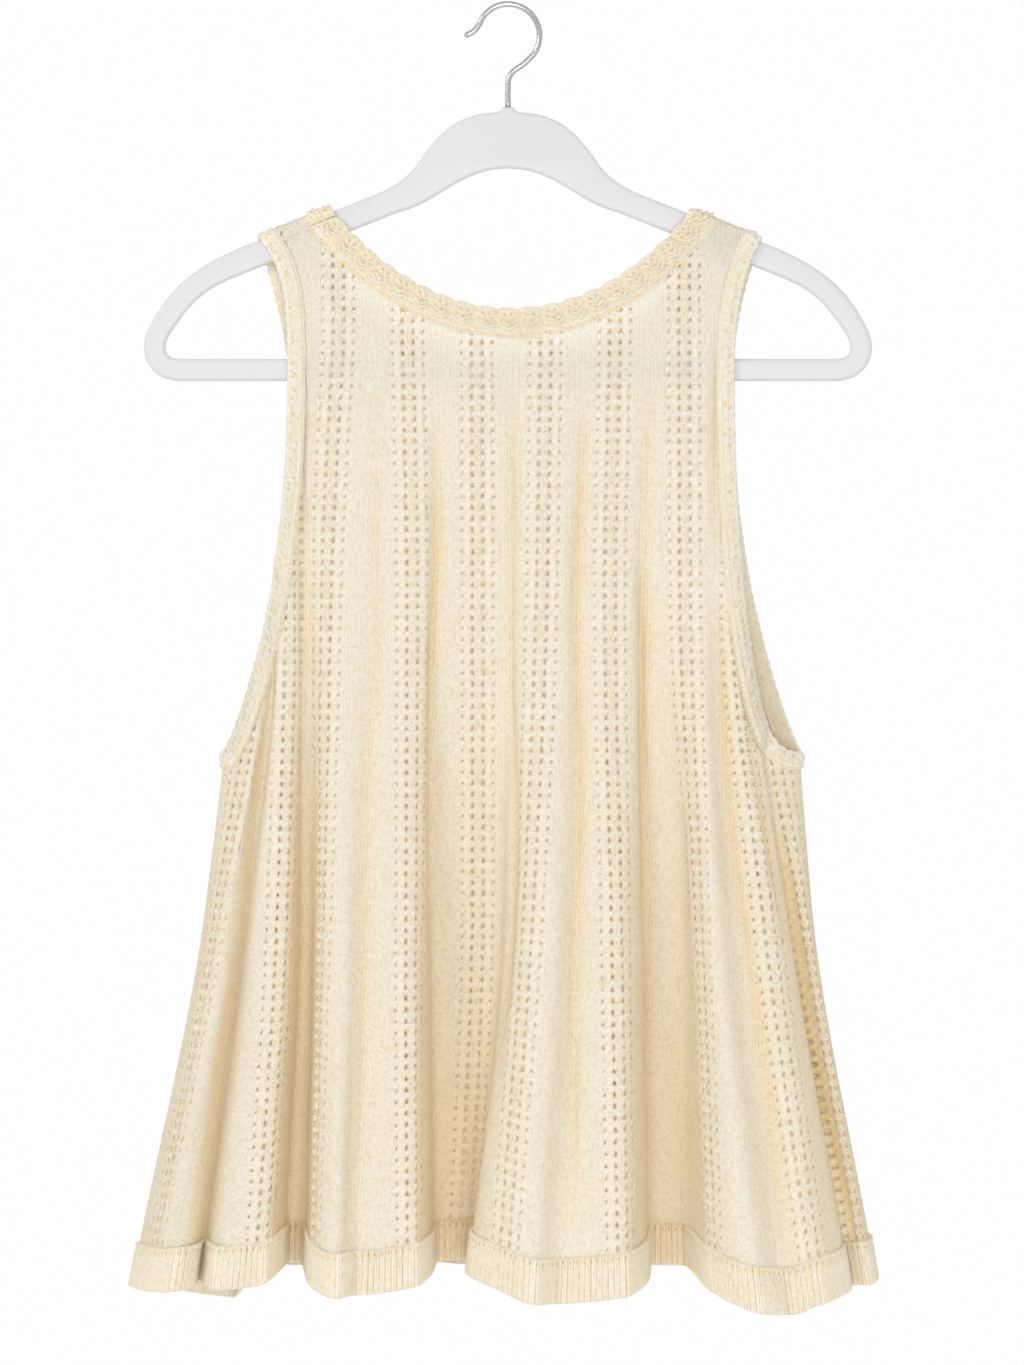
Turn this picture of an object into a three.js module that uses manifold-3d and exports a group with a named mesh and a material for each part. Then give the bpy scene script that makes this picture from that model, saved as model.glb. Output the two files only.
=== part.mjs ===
// A sleeveless knit top hanging on a plastic clothes hanger.
// Millimetres, +Z up. The back of the top faces -Y. The origin is the inside of the hook's crown.
import * as THREE from 'three';
import { mergeVertices } from 'three/addons/utils/BufferGeometryUtils.js';
import Module from 'manifold-3d';

const wasm = await Module();
wasm.setup();

// ---------- driving dimensions ----------
const WALL = 1.5;            // knitted cloth
const HEM_PROUD = 0.3;       // how far the ribbed hem stands proud of the cloth
const BAND_PROUD = 1.5;      // how far the armhole bands stand proud of the cloth
const NECK_PROUD = 1.2;      // neckband between its scallops
const SCALLOP = 1.3;         // extra height of one neckband scallop
const SCALLOP_PITCH = 12;
const NECK_UNDER = 0.4;      // how far the neckband reaches below the cloth's middle
const SEAM = 0.3;            // clearance where two pieces are sewn together
const BAND_GAP = 0.5;        // clearance between a panel's cut edge and its band
const NECKBAND = 16;         // band widths
const ARMBAND = 10;
const HEM_RIB = 24;

const HANGER_THICK = 6;
const HANGER_ROUND = 2.6;    // rounded edge of the hanger
const ARM_SLOPE = 0.394;     // fall of the hanger's arm along its length
const ARM_X = 77;            // where the straight stretch of the arm starts
const ARM_Z = -111.6;        // height of the arm's top there
const SIT = 0.5;             // clearance of the cloth on the hanger
const REST = HANGER_THICK / 2 + SIT + WALL / 2;   // middle of the cloth, from the hanger's mid plane

const WIRE = 1.8;            // hook wire radius
const HOOK_RADIUS = 19;      // centre line of the hook's bend

// heights at which the fold tables give a place across the garment
const LEVEL = { neck: -200, chest: -360, waist: -536, hem: -746 };
// how much of a fold's reach at the hem it has at each height
const SWELL = { neck: 0, chest: 0.08, waist: 0.42, hem: 0.9 };
const LACE_PITCH = 41.4;     // distance between lace columns at the neck
const MIDDLE_LACE = 4.5;     // the centre line lies between the fifth and sixth column
const BODY_CENTRE = 2.1;
const LAST_LACE = 9.5;       // the side seams lie half a column outside the first and last
const ROUND = 20;            // lace columns all round the garment
const HEM_LEVEL = -757;      // mean height of the hem
const HEM_SETTLE = 220;      // height over which the hem's unevenness dies out

// One row for each crest, valley or turn of a fold, from left to right. lace is the place in the
// cloth counted in lace columns, chest, waist and hem are its place across at those heights,
// out is how far it stands out at the hem, and drop is how low the hem hangs there.
const FOLD_COLUMNS = ['lace', 'chest', 'waist', 'hem', 'out', 'drop'];
const BACK_FOLDS = [
  [0, -148, -172, -210, 34, 764],
  [0.3, -144, -163, -194, 54, 761],
  [0.5, -141, -157, -184, 44, 760],
  [0.62, -139, -155, -182, 20, 759],
  [0.8, -136, -148, -169, 54, 760],
  [1, -130, -133, -144, 56, 757],
  [1.2, -125, -126, -134, 34, 751],
  [1.4, -123, -123, -132, 8, 751],
  [1.7, -119, -118, -123, 8, 751],
  [2, -109, -111, -114, 56, 758],
  [2.3, -94, -96, -99, 78, 761],
  [2.55, -81, -83, -89, 66, 761],
  [3, -57, -57, -55, 70, 756],
  [3.2, -47, -48, -46, 44, 753],
  [3.45, -43, -45, -43, 6, 751],
  [4, -18, -18, -26, 6, 750],
  [4.35, -2, -4, -18, 20, 749],
  [4.6, 3, 0, -23, 48, 751],
  [5, 20, 12, -3, 76, 757],
  [5.3, 31, 26, 14, 84, 763],
  [5.55, 42, 40, 30, 70, 765],
  [6, 61, 64, 67, 74, 761],
  [6.2, 76, 79, 81, 44, 757],
  [6.45, 81, 84, 85, 14, 751],
  [6.75, 92, 100, 105, 16, 752],
  [7, 106, 112, 119, 62, 760],
  [7.3, 116, 122, 141, 82, 768],
  [7.5, 124, 134, 160, 66, 772],
  [8, 137, 153, 179, 68, 766],
  [8.25, 143, 164, 197, 42, 763],
  [8.5, 146, 168, 201, 18, 763],
  [9, 150, 175, 211, 24, 762],
];
const FRONT_FOLDS = [
  [0, -150, -170, -206, 30, 774],
  [0.45, -142, -157, -188, 56, 782],
  [0.8, -136, -146, -166, 50, 784],
  [1.1, -129, -137, -155, 12, 762],
  [1.5, -121, -126, -140, 16, 758],
  [2, -108, -112, -118, 62, 766],
  [2.55, -82, -84, -88, 72, 768],
  [3.05, -58, -60, -66, 46, 760],
  [3.3, -49, -52, -60, 10, 756],
  [3.8, -28, -30, -42, 14, 756],
  [4.2, -12, -14, -30, 56, 764],
  [4.7, 10, 8, -4, 76, 768],
  [5.1, 26, 26, 24, 58, 764],
  [5.4, 36, 36, 34, 12, 757],
  [5.9, 58, 58, 52, 12, 757],
  [6.3, 72, 74, 72, 54, 764],
  [6.8, 96, 100, 106, 76, 768],
  [7.2, 112, 116, 126, 50, 762],
  [7.45, 120, 126, 134, 14, 757],
  [7.8, 130, 138, 148, 26, 758],
  [8.3, 142, 156, 176, 62, 766],
  [8.9, 151, 171, 204, 36, 762],
];
const SIDE_SEAMS = [
  [-0.5, -165, -181, -222, 0, 767],
  [9.5, 172, 182, 218, 0, 762],
];

// The armhole edges. narrow is the half width of the garment at the armhole's narrowest height,
// flare and rise shape it up to the shoulder, turn and round shape it down to the underarm.
const ARMHOLE = { centre: 1.2, narrowZ: -230, shoulderZ: -138, underarmZ: -447 };
const ARM_EDGES = {
  backLeft: { narrow: 133, flare: 18, rise: 4.5, turn: 2, round: 0.8 },
  backRight: { narrow: 134, flare: 17, rise: 3, turn: 1.7, round: 0.33 },
  frontLeft: { narrow: 132, flare: 19, rise: 1.6, turn: 2, round: 0.8 },
  frontRight: { narrow: 133, flare: 18, rise: 2, turn: 1.9, round: 0.91 },
};
// The neckline. The back is a parabola that closes in slightly, the front a deeper scoop.
const NECK = { bottomBack: -182.4, bottomFront: -207, spread: 14.9, pinch: 0.001, scoop: 2.2, ridgeZ: -121.4 };
// how far below the arm's top the shoulder seam lies, on the back
const SHOULDER_SEAM = { left: 4, right: 20 };
const SHOULDER_START = -175; // the bands start to turn square to the arm here
const SHOULDER_SPREAD = 1.1; // width of a band along the arm, as a share of its own width

const COTTON = { color: 0xeee1c6, roughness: 0.85, metalness: 0 };
const RIBBING = { color: 0xefe4cf, roughness: 0.85, metalness: 0 };
const PLASTIC = { color: 0xe9e9ea, roughness: 0.4, metalness: 0 };
const CHROME = { color: 0xc8c8c8, roughness: 0.15, metalness: 1 };

// ---------- small helpers ----------
const lerp = (a, b, t) => a + (b - a) * t;
const clamp = (v, low, high) => Math.min(high, Math.max(low, v));
const range = (count) => Array.from({ length: count }, (_, i) => i);

// Smooth curve through values v at places u, that never overshoots between two of them.
function steadyCurve(u, v) {
  const last = u.length - 1;
  const secant = range(last).map((i) => (v[i + 1] - v[i]) / (u[i + 1] - u[i]));
  const slope = range(last + 1).map((i) => {
    if (i === 0 || i === last) return secant[i === 0 ? 0 : last - 1];
    const [a, b] = [secant[i - 1], secant[i]];
    return a * b <= 0 ? 0 : (2 * a * b) / (a + b);
  });
  return (at) => {
    let i = 0;
    while (i < last - 1 && at > u[i + 1]) i += 1;
    const width = u[i + 1] - u[i];
    const t = clamp((at - u[i]) / width, 0, 1);
    const [s, r] = [t * t * (3 - 2 * t), t * (1 - t)];
    return lerp(v[i], v[i + 1], s) + width * r * (slope[i] * (1 - t) - slope[i + 1] * t);
  };
}

// Value at a height from its values at the four levels, level above the neck.
function alongHeight(neck, chest, waist, hem) {
  const levels = [LEVEL.hem, LEVEL.waist, LEVEL.chest, LEVEL.neck];
  const curve = steadyCurve(levels, [hem, waist, chest, neck]);
  const below = (waist - hem) / (LEVEL.waist - LEVEL.hem);
  return (z) => curve(z) + below * Math.min(0, z - LEVEL.hem);
}

// ---------- the cloth: one closed ring of folds at every height ----------
const swellAt = alongHeight(SWELL.neck, SWELL.chest, SWELL.waist, SWELL.hem);

function foldLine(row, side, place) {
  const fold = Object.fromEntries(FOLD_COLUMNS.map((name, i) => [name, row[i]]));
  const neck = BODY_CENTRE + (fold.lace - MIDDLE_LACE) * LACE_PITCH;
  const across = alongHeight(neck, fold.chest, fold.waist, fold.hem);
  const depth = (z) => side * (REST + fold.out * Math.max(0, swellAt(z)));
  return { place, across, depth, drop: fold.drop };
}

const backLines = BACK_FOLDS.map((row) => foldLine(row, -1, row[0]));
const frontLines = FRONT_FOLDS.map((row) => foldLine(row, 1, ROUND - 1 - row[0])).reverse();
const [leftSeam, rightSeam] = SIDE_SEAMS.map((row) => foldLine(row, 0, row[0]));
const once = [leftSeam, ...backLines, rightSeam, ...frontLines];
const turned = (line, turns) => ({ ...line, place: line.place + turns * ROUND });
const ring = [...once.slice(-3).map((l) => turned(l, -1)), ...once, ...once.slice(0, 3).map((l) => turned(l, 1))];
const ringPlaces = ring.map((line) => line.place);
const dropAt = steadyCurve(ringPlaces, ring.map((line) => line.drop));

const sections = new Map();
function sectionAt(z) {
  const key = z.toFixed(2);
  if (!sections.has(key)) {
    sections.set(key, {
      x: steadyCurve(ringPlaces, ring.map((line) => line.across(z))),
      y: steadyCurve(ringPlaces, ring.map((line) => line.depth(z))),
    });
  }
  return sections.get(key);
}

function clothPoint(place, z) {
  const section = sectionAt(z);
  return new THREE.Vector3(section.x(place), section.y(place), z);
}

// the top of the hanger's arms, and the axis the cloth bends round as it passes over them
const armTop = (x) => ARM_Z - ARM_SLOPE * (Math.abs(x) - ARM_X);
const bendAxis = (x) => armTop(x) - HANGER_THICK / 2;
const shoulderSeam = (x) => armTop(x) - (x < 0 ? SHOULDER_SEAM.left : SHOULDER_SEAM.right);

// Place in the cloth of a point seen at (x, z) on the back (side -1) or the front (side 1).
function placeOf(side, x, z) {
  const section = sectionAt(z);
  let [left, right] = side < 0 ? [-0.5, LAST_LACE] : [ROUND - 0.5, LAST_LACE];
  for (let i = 0; i < 40; i += 1) {
    const middle = (left + right) / 2;
    if (section.x(middle) < x) left = middle;
    else right = middle;
  }
  return (left + right) / 2;
}

// The cloth's middle surface at (x, z), below the arm of the hanger.
function drapedPoint(side, x, z) {
  return new THREE.Vector3(x, sectionAt(z).y(placeOf(side, x, z)), z);
}

// ---------- outlines, as seen from the back ----------
function armEdgeX(name, z) {
  const edge = ARM_EDGES[name];
  const outward = name.endsWith('Left') ? -1 : 1;
  const seam = outward < 0 ? leftSeam : rightSeam;
  const up = clamp((z - ARMHOLE.narrowZ) / (ARMHOLE.shoulderZ - ARMHOLE.narrowZ), 0, 1.4);
  const down = clamp((ARMHOLE.narrowZ - z) / (ARMHOLE.narrowZ - ARMHOLE.underarmZ), 0, 1);
  const reach = Math.abs(seam.across(ARMHOLE.underarmZ) - ARMHOLE.centre) - edge.narrow;
  const half = edge.narrow + edge.flare * up ** edge.rise
    + reach * (1 - (1 - down ** edge.turn) ** edge.round);
  return ARMHOLE.centre + outward * half;
}

const neckHalf = {
  back: (rise) => NECK.spread * Math.sqrt(rise) * (1 - NECK.pinch * rise),
  front: (rise) => {
    const full = neckHalf.back(NECK.ridgeZ - NECK.bottomBack);
    const part = clamp(rise / (NECK.ridgeZ - NECK.bottomFront), 0, 1);
    return full * Math.sqrt(1 - (1 - part) ** NECK.scoop);
  },
};

// Edge of an opening from its lowest point to above the arm, points close together at both ends.
const OUTLINE_STEPS = 240;
const ABOVE_ARM = 12;
function armEdge(name) {
  const top = ARMHOLE.shoulderZ + ABOVE_ARM;
  return range(OUTLINE_STEPS + 1).map((i) => {
    const z = lerp(ARMHOLE.underarmZ, top, (i / OUTLINE_STEPS) ** 3);
    return new THREE.Vector2(armEdgeX(name, z), z);
  });
}
function neckEdge(face, outward) {
  const bottom = face === 'back' ? NECK.bottomBack : NECK.bottomFront;
  const height = NECK.ridgeZ + ABOVE_ARM - bottom;
  return range(OUTLINE_STEPS + 1).map((i) => {
    const rise = height * (i / OUTLINE_STEPS) ** 2;
    return new THREE.Vector2(BODY_CENTRE + outward * neckHalf[face](rise), bottom + rise);
  });
}

// The same outline moved sideways into the cloth, to its left (-1) or right (1). Near the shoulder
// it moves along the arm, so that the back and the front meet over it.
function movedIn(points, distance, toward) {
  return points.map((point, i) => {
    const before = points[Math.max(0, i - 1)];
    const after = points[Math.min(points.length - 1, i + 1)];
    const along = after.clone().sub(before).normalize();
    if (i === 0) along.set(toward, 0);
    const square = new THREE.Vector2(along.y, -along.x).multiplyScalar(distance * toward);
    const downArm = new THREE.Vector2(1, -ARM_SLOPE * Math.sign(point.x)).normalize();
    downArm.multiplyScalar(distance * toward * SHOULDER_SPREAD);
    const nearArm = THREE.MathUtils.smoothstep(point.y, SHOULDER_START, NECK.ridgeZ);
    return point.clone().add(square.lerp(downArm, nearArm));
  });
}

// An outline laid on the cloth: the stretch below the arm, and the rest up to the top of the bend.
const BEND_POINTS = 4;
function laidOnCloth(points, side) {
  const below = [];
  const over = [];
  points.forEach((point, i) => {
    const rise = point.y - bendAxis(point.x);
    if (rise < 0) below.push(drapedPoint(side, point.x, point.y));
    if (rise <= 0 || i === 0) return;
    const start = points[i - 1].y - bendAxis(points[i - 1].x);
    for (let k = over.length; k <= BEND_POINTS; k += 1) {
      const angle = (k / BEND_POINTS) * (Math.PI / 2);
      const share = (REST * Math.sin(angle) - start) / (rise - start);
      if (share > 1) return;
      const { x } = points[i - 1].clone().lerp(point, share);
      over.push(new THREE.Vector3(x, side * REST * Math.cos(angle), bendAxis(x) + REST * Math.sin(angle)));
    }
  });
  return { below: [...below, over[0]], over: over.slice(1) };
}

function pathLength(points) {
  return points.slice(1).reduce((sum, point, i) => sum + point.distanceTo(points[i]), 0);
}

// The same path with evenly spaced points.
function evenly(points, count) {
  const step = pathLength(points) / count;
  const even = [points[0].clone()];
  let walked = 0;
  for (let i = 1; i < points.length; i += 1) {
    const leg = points[i].distanceTo(points[i - 1]);
    while (walked + leg >= step * even.length && even.length < count) {
      even.push(points[i - 1].clone().lerp(points[i], (step * even.length - walked) / leg));
    }
    walked += leg;
  }
  even.push(points[points.length - 1].clone());
  return even;
}

// Free and sewn edge of an armhole band on one face of the garment, from the underarm to the arm.
const ARM_STATIONS = 22;
const NECK_CUTS = 26;
function armholeHalf(name) {
  const [side, outward] = [name.startsWith('back') ? -1 : 1, name.endsWith('Left') ? -1 : 1];
  const edge = armEdge(name);
  const paths = [edge, movedIn(edge, ARMBAND, -outward)].map((points) => laidOnCloth(points, side));
  const seam = outward < 0 ? leftSeam.place : rightSeam.place;
  return paths.map(({ below, over }, i) => {
    const underarm = clothPoint(seam, ARMHOLE.underarmZ - i * ARMBAND);
    return [...evenly([underarm, ...below.slice(1)], ARM_STATIONS), ...over];
  });
}

// ---------- solids ----------
// A wall from rows of [outer, inner] pairs of points. A hoop joins its last row to its first.
function wallGeometry(rows, hoop = false) {
  const width = rows[0].length;
  const positions = [];
  rows.forEach((row) => row.forEach(([outer, inner]) => positions.push(...outer, ...inner)));
  const outerAt = (r, c) => 2 * ((r % rows.length) * width + c);
  const innerAt = (r, c) => outerAt(r, c) + 1;
  const faces = [];
  const quad = (a, b, c, d) => faces.push(a, b, c, a, c, d);
  const lastRow = hoop ? rows.length : rows.length - 1;
  for (let r = 0; r < lastRow; r += 1) {
    for (let c = 0; c < width - 1; c += 1) {
      quad(outerAt(r, c), outerAt(r, c + 1), outerAt(r + 1, c + 1), outerAt(r + 1, c));
      quad(innerAt(r, c), innerAt(r + 1, c), innerAt(r + 1, c + 1), innerAt(r, c + 1));
    }
    quad(outerAt(r, 0), outerAt(r + 1, 0), innerAt(r + 1, 0), innerAt(r, 0));
    quad(outerAt(r, width - 1), innerAt(r, width - 1), innerAt(r + 1, width - 1), outerAt(r + 1, width - 1));
  }
  if (!hoop) {
    const top = rows.length - 1;
    for (let c = 0; c < width - 1; c += 1) {
      quad(outerAt(0, c), innerAt(0, c), innerAt(0, c + 1), outerAt(0, c + 1));
      quad(outerAt(top, c), outerAt(top, c + 1), innerAt(top, c + 1), innerAt(top, c));
    }
  }
  const geometry = new THREE.BufferGeometry();
  geometry.setAttribute('position', new THREE.Float32BufferAttribute(positions, 3));
  geometry.setIndex(faces);
  return geometry;
}

// Outer and inner points on both sides of a grid of points on the cloth's middle surface. Its
// first and last columns are at the side seams, where the cloth faces straight to the side.
function thicken(grid, outward, inward) {
  return grid.map((row, r) => row.map((point, c) => {
    const across = row[Math.min(c + 1, row.length - 1)].clone().sub(row[Math.max(c - 1, 0)]);
    const above = grid[Math.min(r + 1, grid.length - 1)][c];
    const up = above.clone().sub(grid[Math.max(r - 1, 0)][c]);
    const normal = across.cross(up);
    if (c === 0 || c === row.length - 1) normal.y = 0;
    normal.normalize();
    return [point.clone().addScaledVector(normal, outward), point.clone().addScaledVector(normal, -inward)];
  }));
}

function toSolid(geometry) {
  const bare = geometry.clone();
  bare.deleteAttribute('normal');
  bare.deleteAttribute('uv');
  const merged = mergeVertices(bare, 1e-5);
  const mesh = new wasm.Mesh({
    numProp: 3,
    vertProperties: new Float32Array(merged.attributes.position.array),
    triVerts: new Uint32Array(merged.index.array),
  });
  return new wasm.Manifold(mesh);
}

function toGeometry(solid) {
  const mesh = solid.getMesh();
  const geometry = new THREE.BufferGeometry();
  geometry.setAttribute('position', new THREE.BufferAttribute(new Float32Array(mesh.vertProperties), 3));
  geometry.setIndex(new THREE.BufferAttribute(new Uint32Array(mesh.triVerts), 1));
  return geometry;
}

// A cutter with the given outline across X and Z, from one depth to another.
function cutter(points, nearY, farY) {
  const shape = new THREE.Shape(points);
  const plate = new THREE.ExtrudeGeometry(shape, { depth: farY - nearY, bevelEnabled: false });
  plate.rotateX(Math.PI / 2);
  plate.translate(0, farY, 0);
  return toSolid(plate);
}

const CUT_TOP = -40;
const CUT_SIDE = 320;
const CUT_DEPTH = 200;
const CHANGE_OVER = 1.2;     // how far the front's cuts run on past the ridge
// depths that a cutter spans on the back panel, and on each side of the front panel's shoulders
const THROUGH_BACK = [-CUT_DEPTH, 20];
const THROUGH_BACK_SHOULDER = [-CUT_DEPTH, 0];
const THROUGH_FRONT = [-CHANGE_OVER, CUT_DEPTH];

function armholeCutter(name, depths) {
  const outward = name.endsWith('Left') ? -1 : 1;
  const sewn = armholeHalf(name)[1].map((point) => new THREE.Vector2(point.x, point.z));
  const edge = movedIn(sewn, BAND_GAP, -outward);
  edge.push(new THREE.Vector2(edge[edge.length - 1].x, CUT_TOP));
  edge.push(new THREE.Vector2(outward * CUT_SIDE, CUT_TOP));
  edge.push(new THREE.Vector2(outward * CUT_SIDE, edge[0].y));
  return cutter(edge, ...depths);
}
function neckCutter(face, depths) {
  const [right, left] = [1, -1].map((toward) => {
    return evenly(movedIn(neckEdge(face, toward), NECKBAND + BAND_GAP, toward), NECK_CUTS);
  });
  const top = [right, left].map((edge) => new THREE.Vector2(edge[NECK_CUTS].x, CUT_TOP));
  return cutter([...right, ...top, ...left.slice(1).reverse()], ...depths);
}

// ---------- panels and hems ----------
// Columns of a panel: every fold line, and the middle between two that are wide apart. The first
// and last stand clear of the side seam.
const WIDE_FOLD = 0.24;
function columnsOf(lines, start, end) {
  const marks = [start, ...lines.map((line) => line.place), end];
  const places = marks.flatMap((mark, i) => {
    return i > 0 && mark - marks[i - 1] > WIDE_FOLD ? [(marks[i - 1] + mark) / 2, mark] : [mark];
  });
  return places.map((place, i) => ({ place, clear: i === 0 ? 1 : i === places.length - 1 ? -1 : 0 }));
}
const backColumns = columnsOf(backLines, -0.5, LAST_LACE);
const frontColumns = columnsOf(frontLines, LAST_LACE, ROUND - 0.5);

function columnPoint({ place, clear }, z) {
  const point = clothPoint(place, z);
  if (clear === 0) return point;
  const inside = clothPoint(place + clear * 0.02, z).sub(point);
  return point.add(inside.setLength(0.6 * SEAM));
}

// Height of a point of the cloth that lies a given length above the hem.
function heightOf(place, length) {
  return HEM_LEVEL + length - (dropAt(place) + HEM_LEVEL) * (1 - Math.min(1, length / HEM_SETTLE));
}

const BODY_ROWS = 13;
const YOKE_Z = -250;          // above this the rows run up to the shoulder
const YOKE_ROWS = 3;
const FIRST_ROW = HEM_RIB + SEAM;
function bodyRows(columns) {
  const full = YOKE_Z - HEM_LEVEL;
  return range(BODY_ROWS + 1).map((r) => {
    const length = lerp(FIRST_ROW, full, r / BODY_ROWS);
    return columns.map((column) => columnPoint(column, heightOf(column.place, length)));
  });
}

// Rows from the yoke up to a line across the shoulder.
function yokeRows(columns, lineAt) {
  return range(YOKE_ROWS).map((r) => columns.map((column) => {
    const top = lineAt(clothPoint(column.place, LEVEL.neck).x);
    return columnPoint(column, lerp(YOKE_Z, top, (r + 1) / YOKE_ROWS));
  }));
}

// Rows over the arm and down the back to the shoulder seam, for the front.
const BEND_STEPS = 5;
function shoulderRows(columns) {
  const tops = columns.map((column) => clothPoint(column.place, LEVEL.neck).x);
  const bend = range(BEND_STEPS).map((i) => tops.map((x) => {
    const angle = Math.PI * ((i + 1) / BEND_STEPS);
    return new THREE.Vector3(x, REST * Math.cos(angle), bendAxis(x) + REST * Math.sin(angle));
  }));
  const seam = tops.map((x) => new THREE.Vector3(x, -REST, shoulderSeam(x) + SEAM));
  return [...bend, seam];
}

function backPanel() {
  const grid = [...bodyRows(backColumns), ...yokeRows(backColumns, shoulderSeam)];
  const cuts = [armholeCutter('backLeft', THROUGH_BACK), armholeCutter('backRight', THROUGH_BACK)];
  cuts.push(neckCutter('back', THROUGH_BACK));
  return toGeometry(toSolid(wallGeometry(thicken(grid, WALL / 2, WALL / 2))).subtract(wasm.Manifold.union(cuts)));
}

function frontPanel() {
  const grid = [...bodyRows(frontColumns), ...yokeRows(frontColumns, bendAxis), ...shoulderRows(frontColumns)];
  const cuts = [neckCutter('back', THROUGH_BACK_SHOULDER), neckCutter('front', THROUGH_FRONT)];
  for (const side of ['Left', 'Right']) {
    cuts.push(armholeCutter(`back${side}`, THROUGH_BACK_SHOULDER));
    cuts.push(armholeCutter(`front${side}`, THROUGH_FRONT));
  }
  return toGeometry(toSolid(wallGeometry(thicken(grid, WALL / 2, WALL / 2))).subtract(wasm.Manifold.union(cuts)));
}

function hemRib(columns) {
  const grid = [0, 0.5, 1].map((part) => columns.map((column) => {
    return columnPoint(column, heightOf(column.place, HEM_RIB * part));
  }));
  return wallGeometry(thicken(grid, WALL / 2 + HEM_PROUD, WALL / 2));
}

// ---------- bands ----------
// A band laid between its free edge and its sewn edge. proudAt gives its height at a station, and
// under is how far it reaches below the cloth's middle. Its sewn edge faces the panel squarely.
function bandGeometry(freeEdge, sewnEdge, proudAt, under, hoop) {
  const count = freeEdge.length;
  const rows = freeEdge.map((free, i) => {
    const sewn = sewnEdge[i];
    const before = hoop ? (i + count - 1) % count : Math.max(0, i - 1);
    const after = hoop ? (i + 1) % count : Math.min(count - 1, i + 1);
    const along = freeEdge[after].clone().sub(freeEdge[before]);
    const normal = sewn.clone().sub(free).cross(along).normalize();
    const toPanel = sewn.clone().sub(free).setY(0).normalize();
    const square = normal.clone().addScaledVector(toPanel, -normal.dot(toPanel));
    square.divideScalar(square.lengthSq());
    const proud = WALL / 2 + proudAt(i);
    return [[0, 0.5], [0.2, 1], [0.8, 1], [1, 0.5]].map(([part, height]) => {
      const point = free.clone().lerp(sewn, part);
      const facing = part === 1 ? square : normal;
      const outer = point.clone().addScaledVector(facing, proud * height);
      return [outer, point.clone().addScaledVector(facing, -under)];
    });
  });
  return wallGeometry(rows, hoop);
}

// A closed ring up the back and down the front on the left, and the other way on the right.
function armholeBand(sideName) {
  const [up, down] = (sideName === 'Left' ? ['back', 'front'] : ['front', 'back'])
    .map((face) => armholeHalf(face + sideName));
  const [free, sewn] = [0, 1].map((k) => [...up[k].slice(0, -1), ...down[k].slice(1).reverse()]);
  return bandGeometry(free, sewn, () => BAND_PROUD, WALL / 2, true);
}

// The neck opening's two halves on one face, joined at the centre, from the left to the right.
// Edge 0 is free and edge 1 is sewn.
function neckLine(face, side, k) {
  const [left, right] = [-1, 1].map((toward) => {
    const edge = neckEdge(face, toward);
    const { below, over } = laidOnCloth(k === 0 ? edge : movedIn(edge, NECKBAND, toward), side);
    return [...below, ...over];
  });
  return [...left.slice(1).reverse(), ...right];
}
const onBackAbove = (point) => point.z > shoulderSeam(point.x);
const SCALLOP_STATIONS = 6;
function scalloped(free, sewn) {
  const count = SCALLOP_STATIONS * Math.round(pathLength(free) / SCALLOP_PITCH);
  const swell = (i) => Math.sin((Math.PI * (i % SCALLOP_STATIONS)) / SCALLOP_STATIONS);
  const proudAt = (i) => NECK_PROUD + SCALLOP * swell(i);
  return bandGeometry(evenly(free, count), evenly(sewn, count), proudAt, NECK_UNDER, false);
}
function backNeckBand() {
  const [free, sewn] = [0, 1].map((k) => neckLine('back', -1, k).filter((point) => !onBackAbove(point)));
  return scalloped(free, sewn);
}
function frontNeckBand() {
  const [free, sewn] = [0, 1].map((k) => {
    const back = neckLine('back', -1, k);
    const above = (point) => point.z > shoulderSeam(point.x) + SEAM;
    const left = back.filter((point) => point.x < 0 && above(point)).reverse();
    const right = back.filter((point) => point.x > 0 && above(point)).reverse();
    return [...left, ...neckLine('front', 1, k), ...right];
  });
  return scalloped(free.reverse(), sewn.reverse());
}

// ---------- hanger ----------
// Right half of the outer outline, from the boss down to the middle of the lower bar.
function hangerHalf() {
  const half = new THREE.Path();
  half.moveTo(0, -60);
  half.lineTo(3.2, -60.2);
  half.quadraticCurveTo(4, -63, 9, -63.4);
  half.bezierCurveTo(32, -64.5, 43, -78, 52, -91);
  half.bezierCurveTo(60, -103, 68, -108, ARM_X + 4, ARM_Z - 4 * ARM_SLOPE);
  half.lineTo(160, armTop(160));
  half.bezierCurveTo(196, -159, 207, -176, 216, -194);
  half.bezierCurveTo(223, -209, 214, -224.4, 197, -224.4);
  half.lineTo(0, -224.4);
  return half.getPoints(5);
}
// Right half of the hole's outline, from the middle of the arch down to the lower bar.
function holeHalf() {
  const half = new THREE.Path();
  half.moveTo(0, -96.8);
  half.bezierCurveTo(30, -97.5, 40, -117, 66, -123.3);
  half.lineTo(158, -159.8);
  half.bezierCurveTo(182, -169, 188, -175, 200, -192);
  half.bezierCurveTo(210, -206, 205, -211.2, 196, -211.2);
  half.lineTo(0, -211.2);
  return half.getPoints(5);
}
// Both halves of an outline whose last stretch is straight across the middle.
function mirrored(points) {
  const right = points.slice(0, -1);
  const left = right.slice(1).map((point) => new THREE.Vector2(-point.x, point.y)).reverse();
  return [...right, ...left];
}
function hangerBody() {
  const shape = new THREE.Shape(mirrored(hangerHalf()).reverse());
  shape.holes.push(new THREE.Path(mirrored(holeHalf())));
  const plate = new THREE.ExtrudeGeometry(shape, {
    depth: HANGER_THICK - 2 * HANGER_ROUND,
    bevelThickness: HANGER_ROUND,
    bevelSize: HANGER_ROUND,
    bevelOffset: -HANGER_ROUND,
    bevelSegments: 2,
    curveSegments: 1,
  });
  plate.translate(0, 0, -(HANGER_THICK / 2 - HANGER_ROUND));
  plate.rotateX(Math.PI / 2);
  return toGeometry(toSolid(plate));
}

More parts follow.
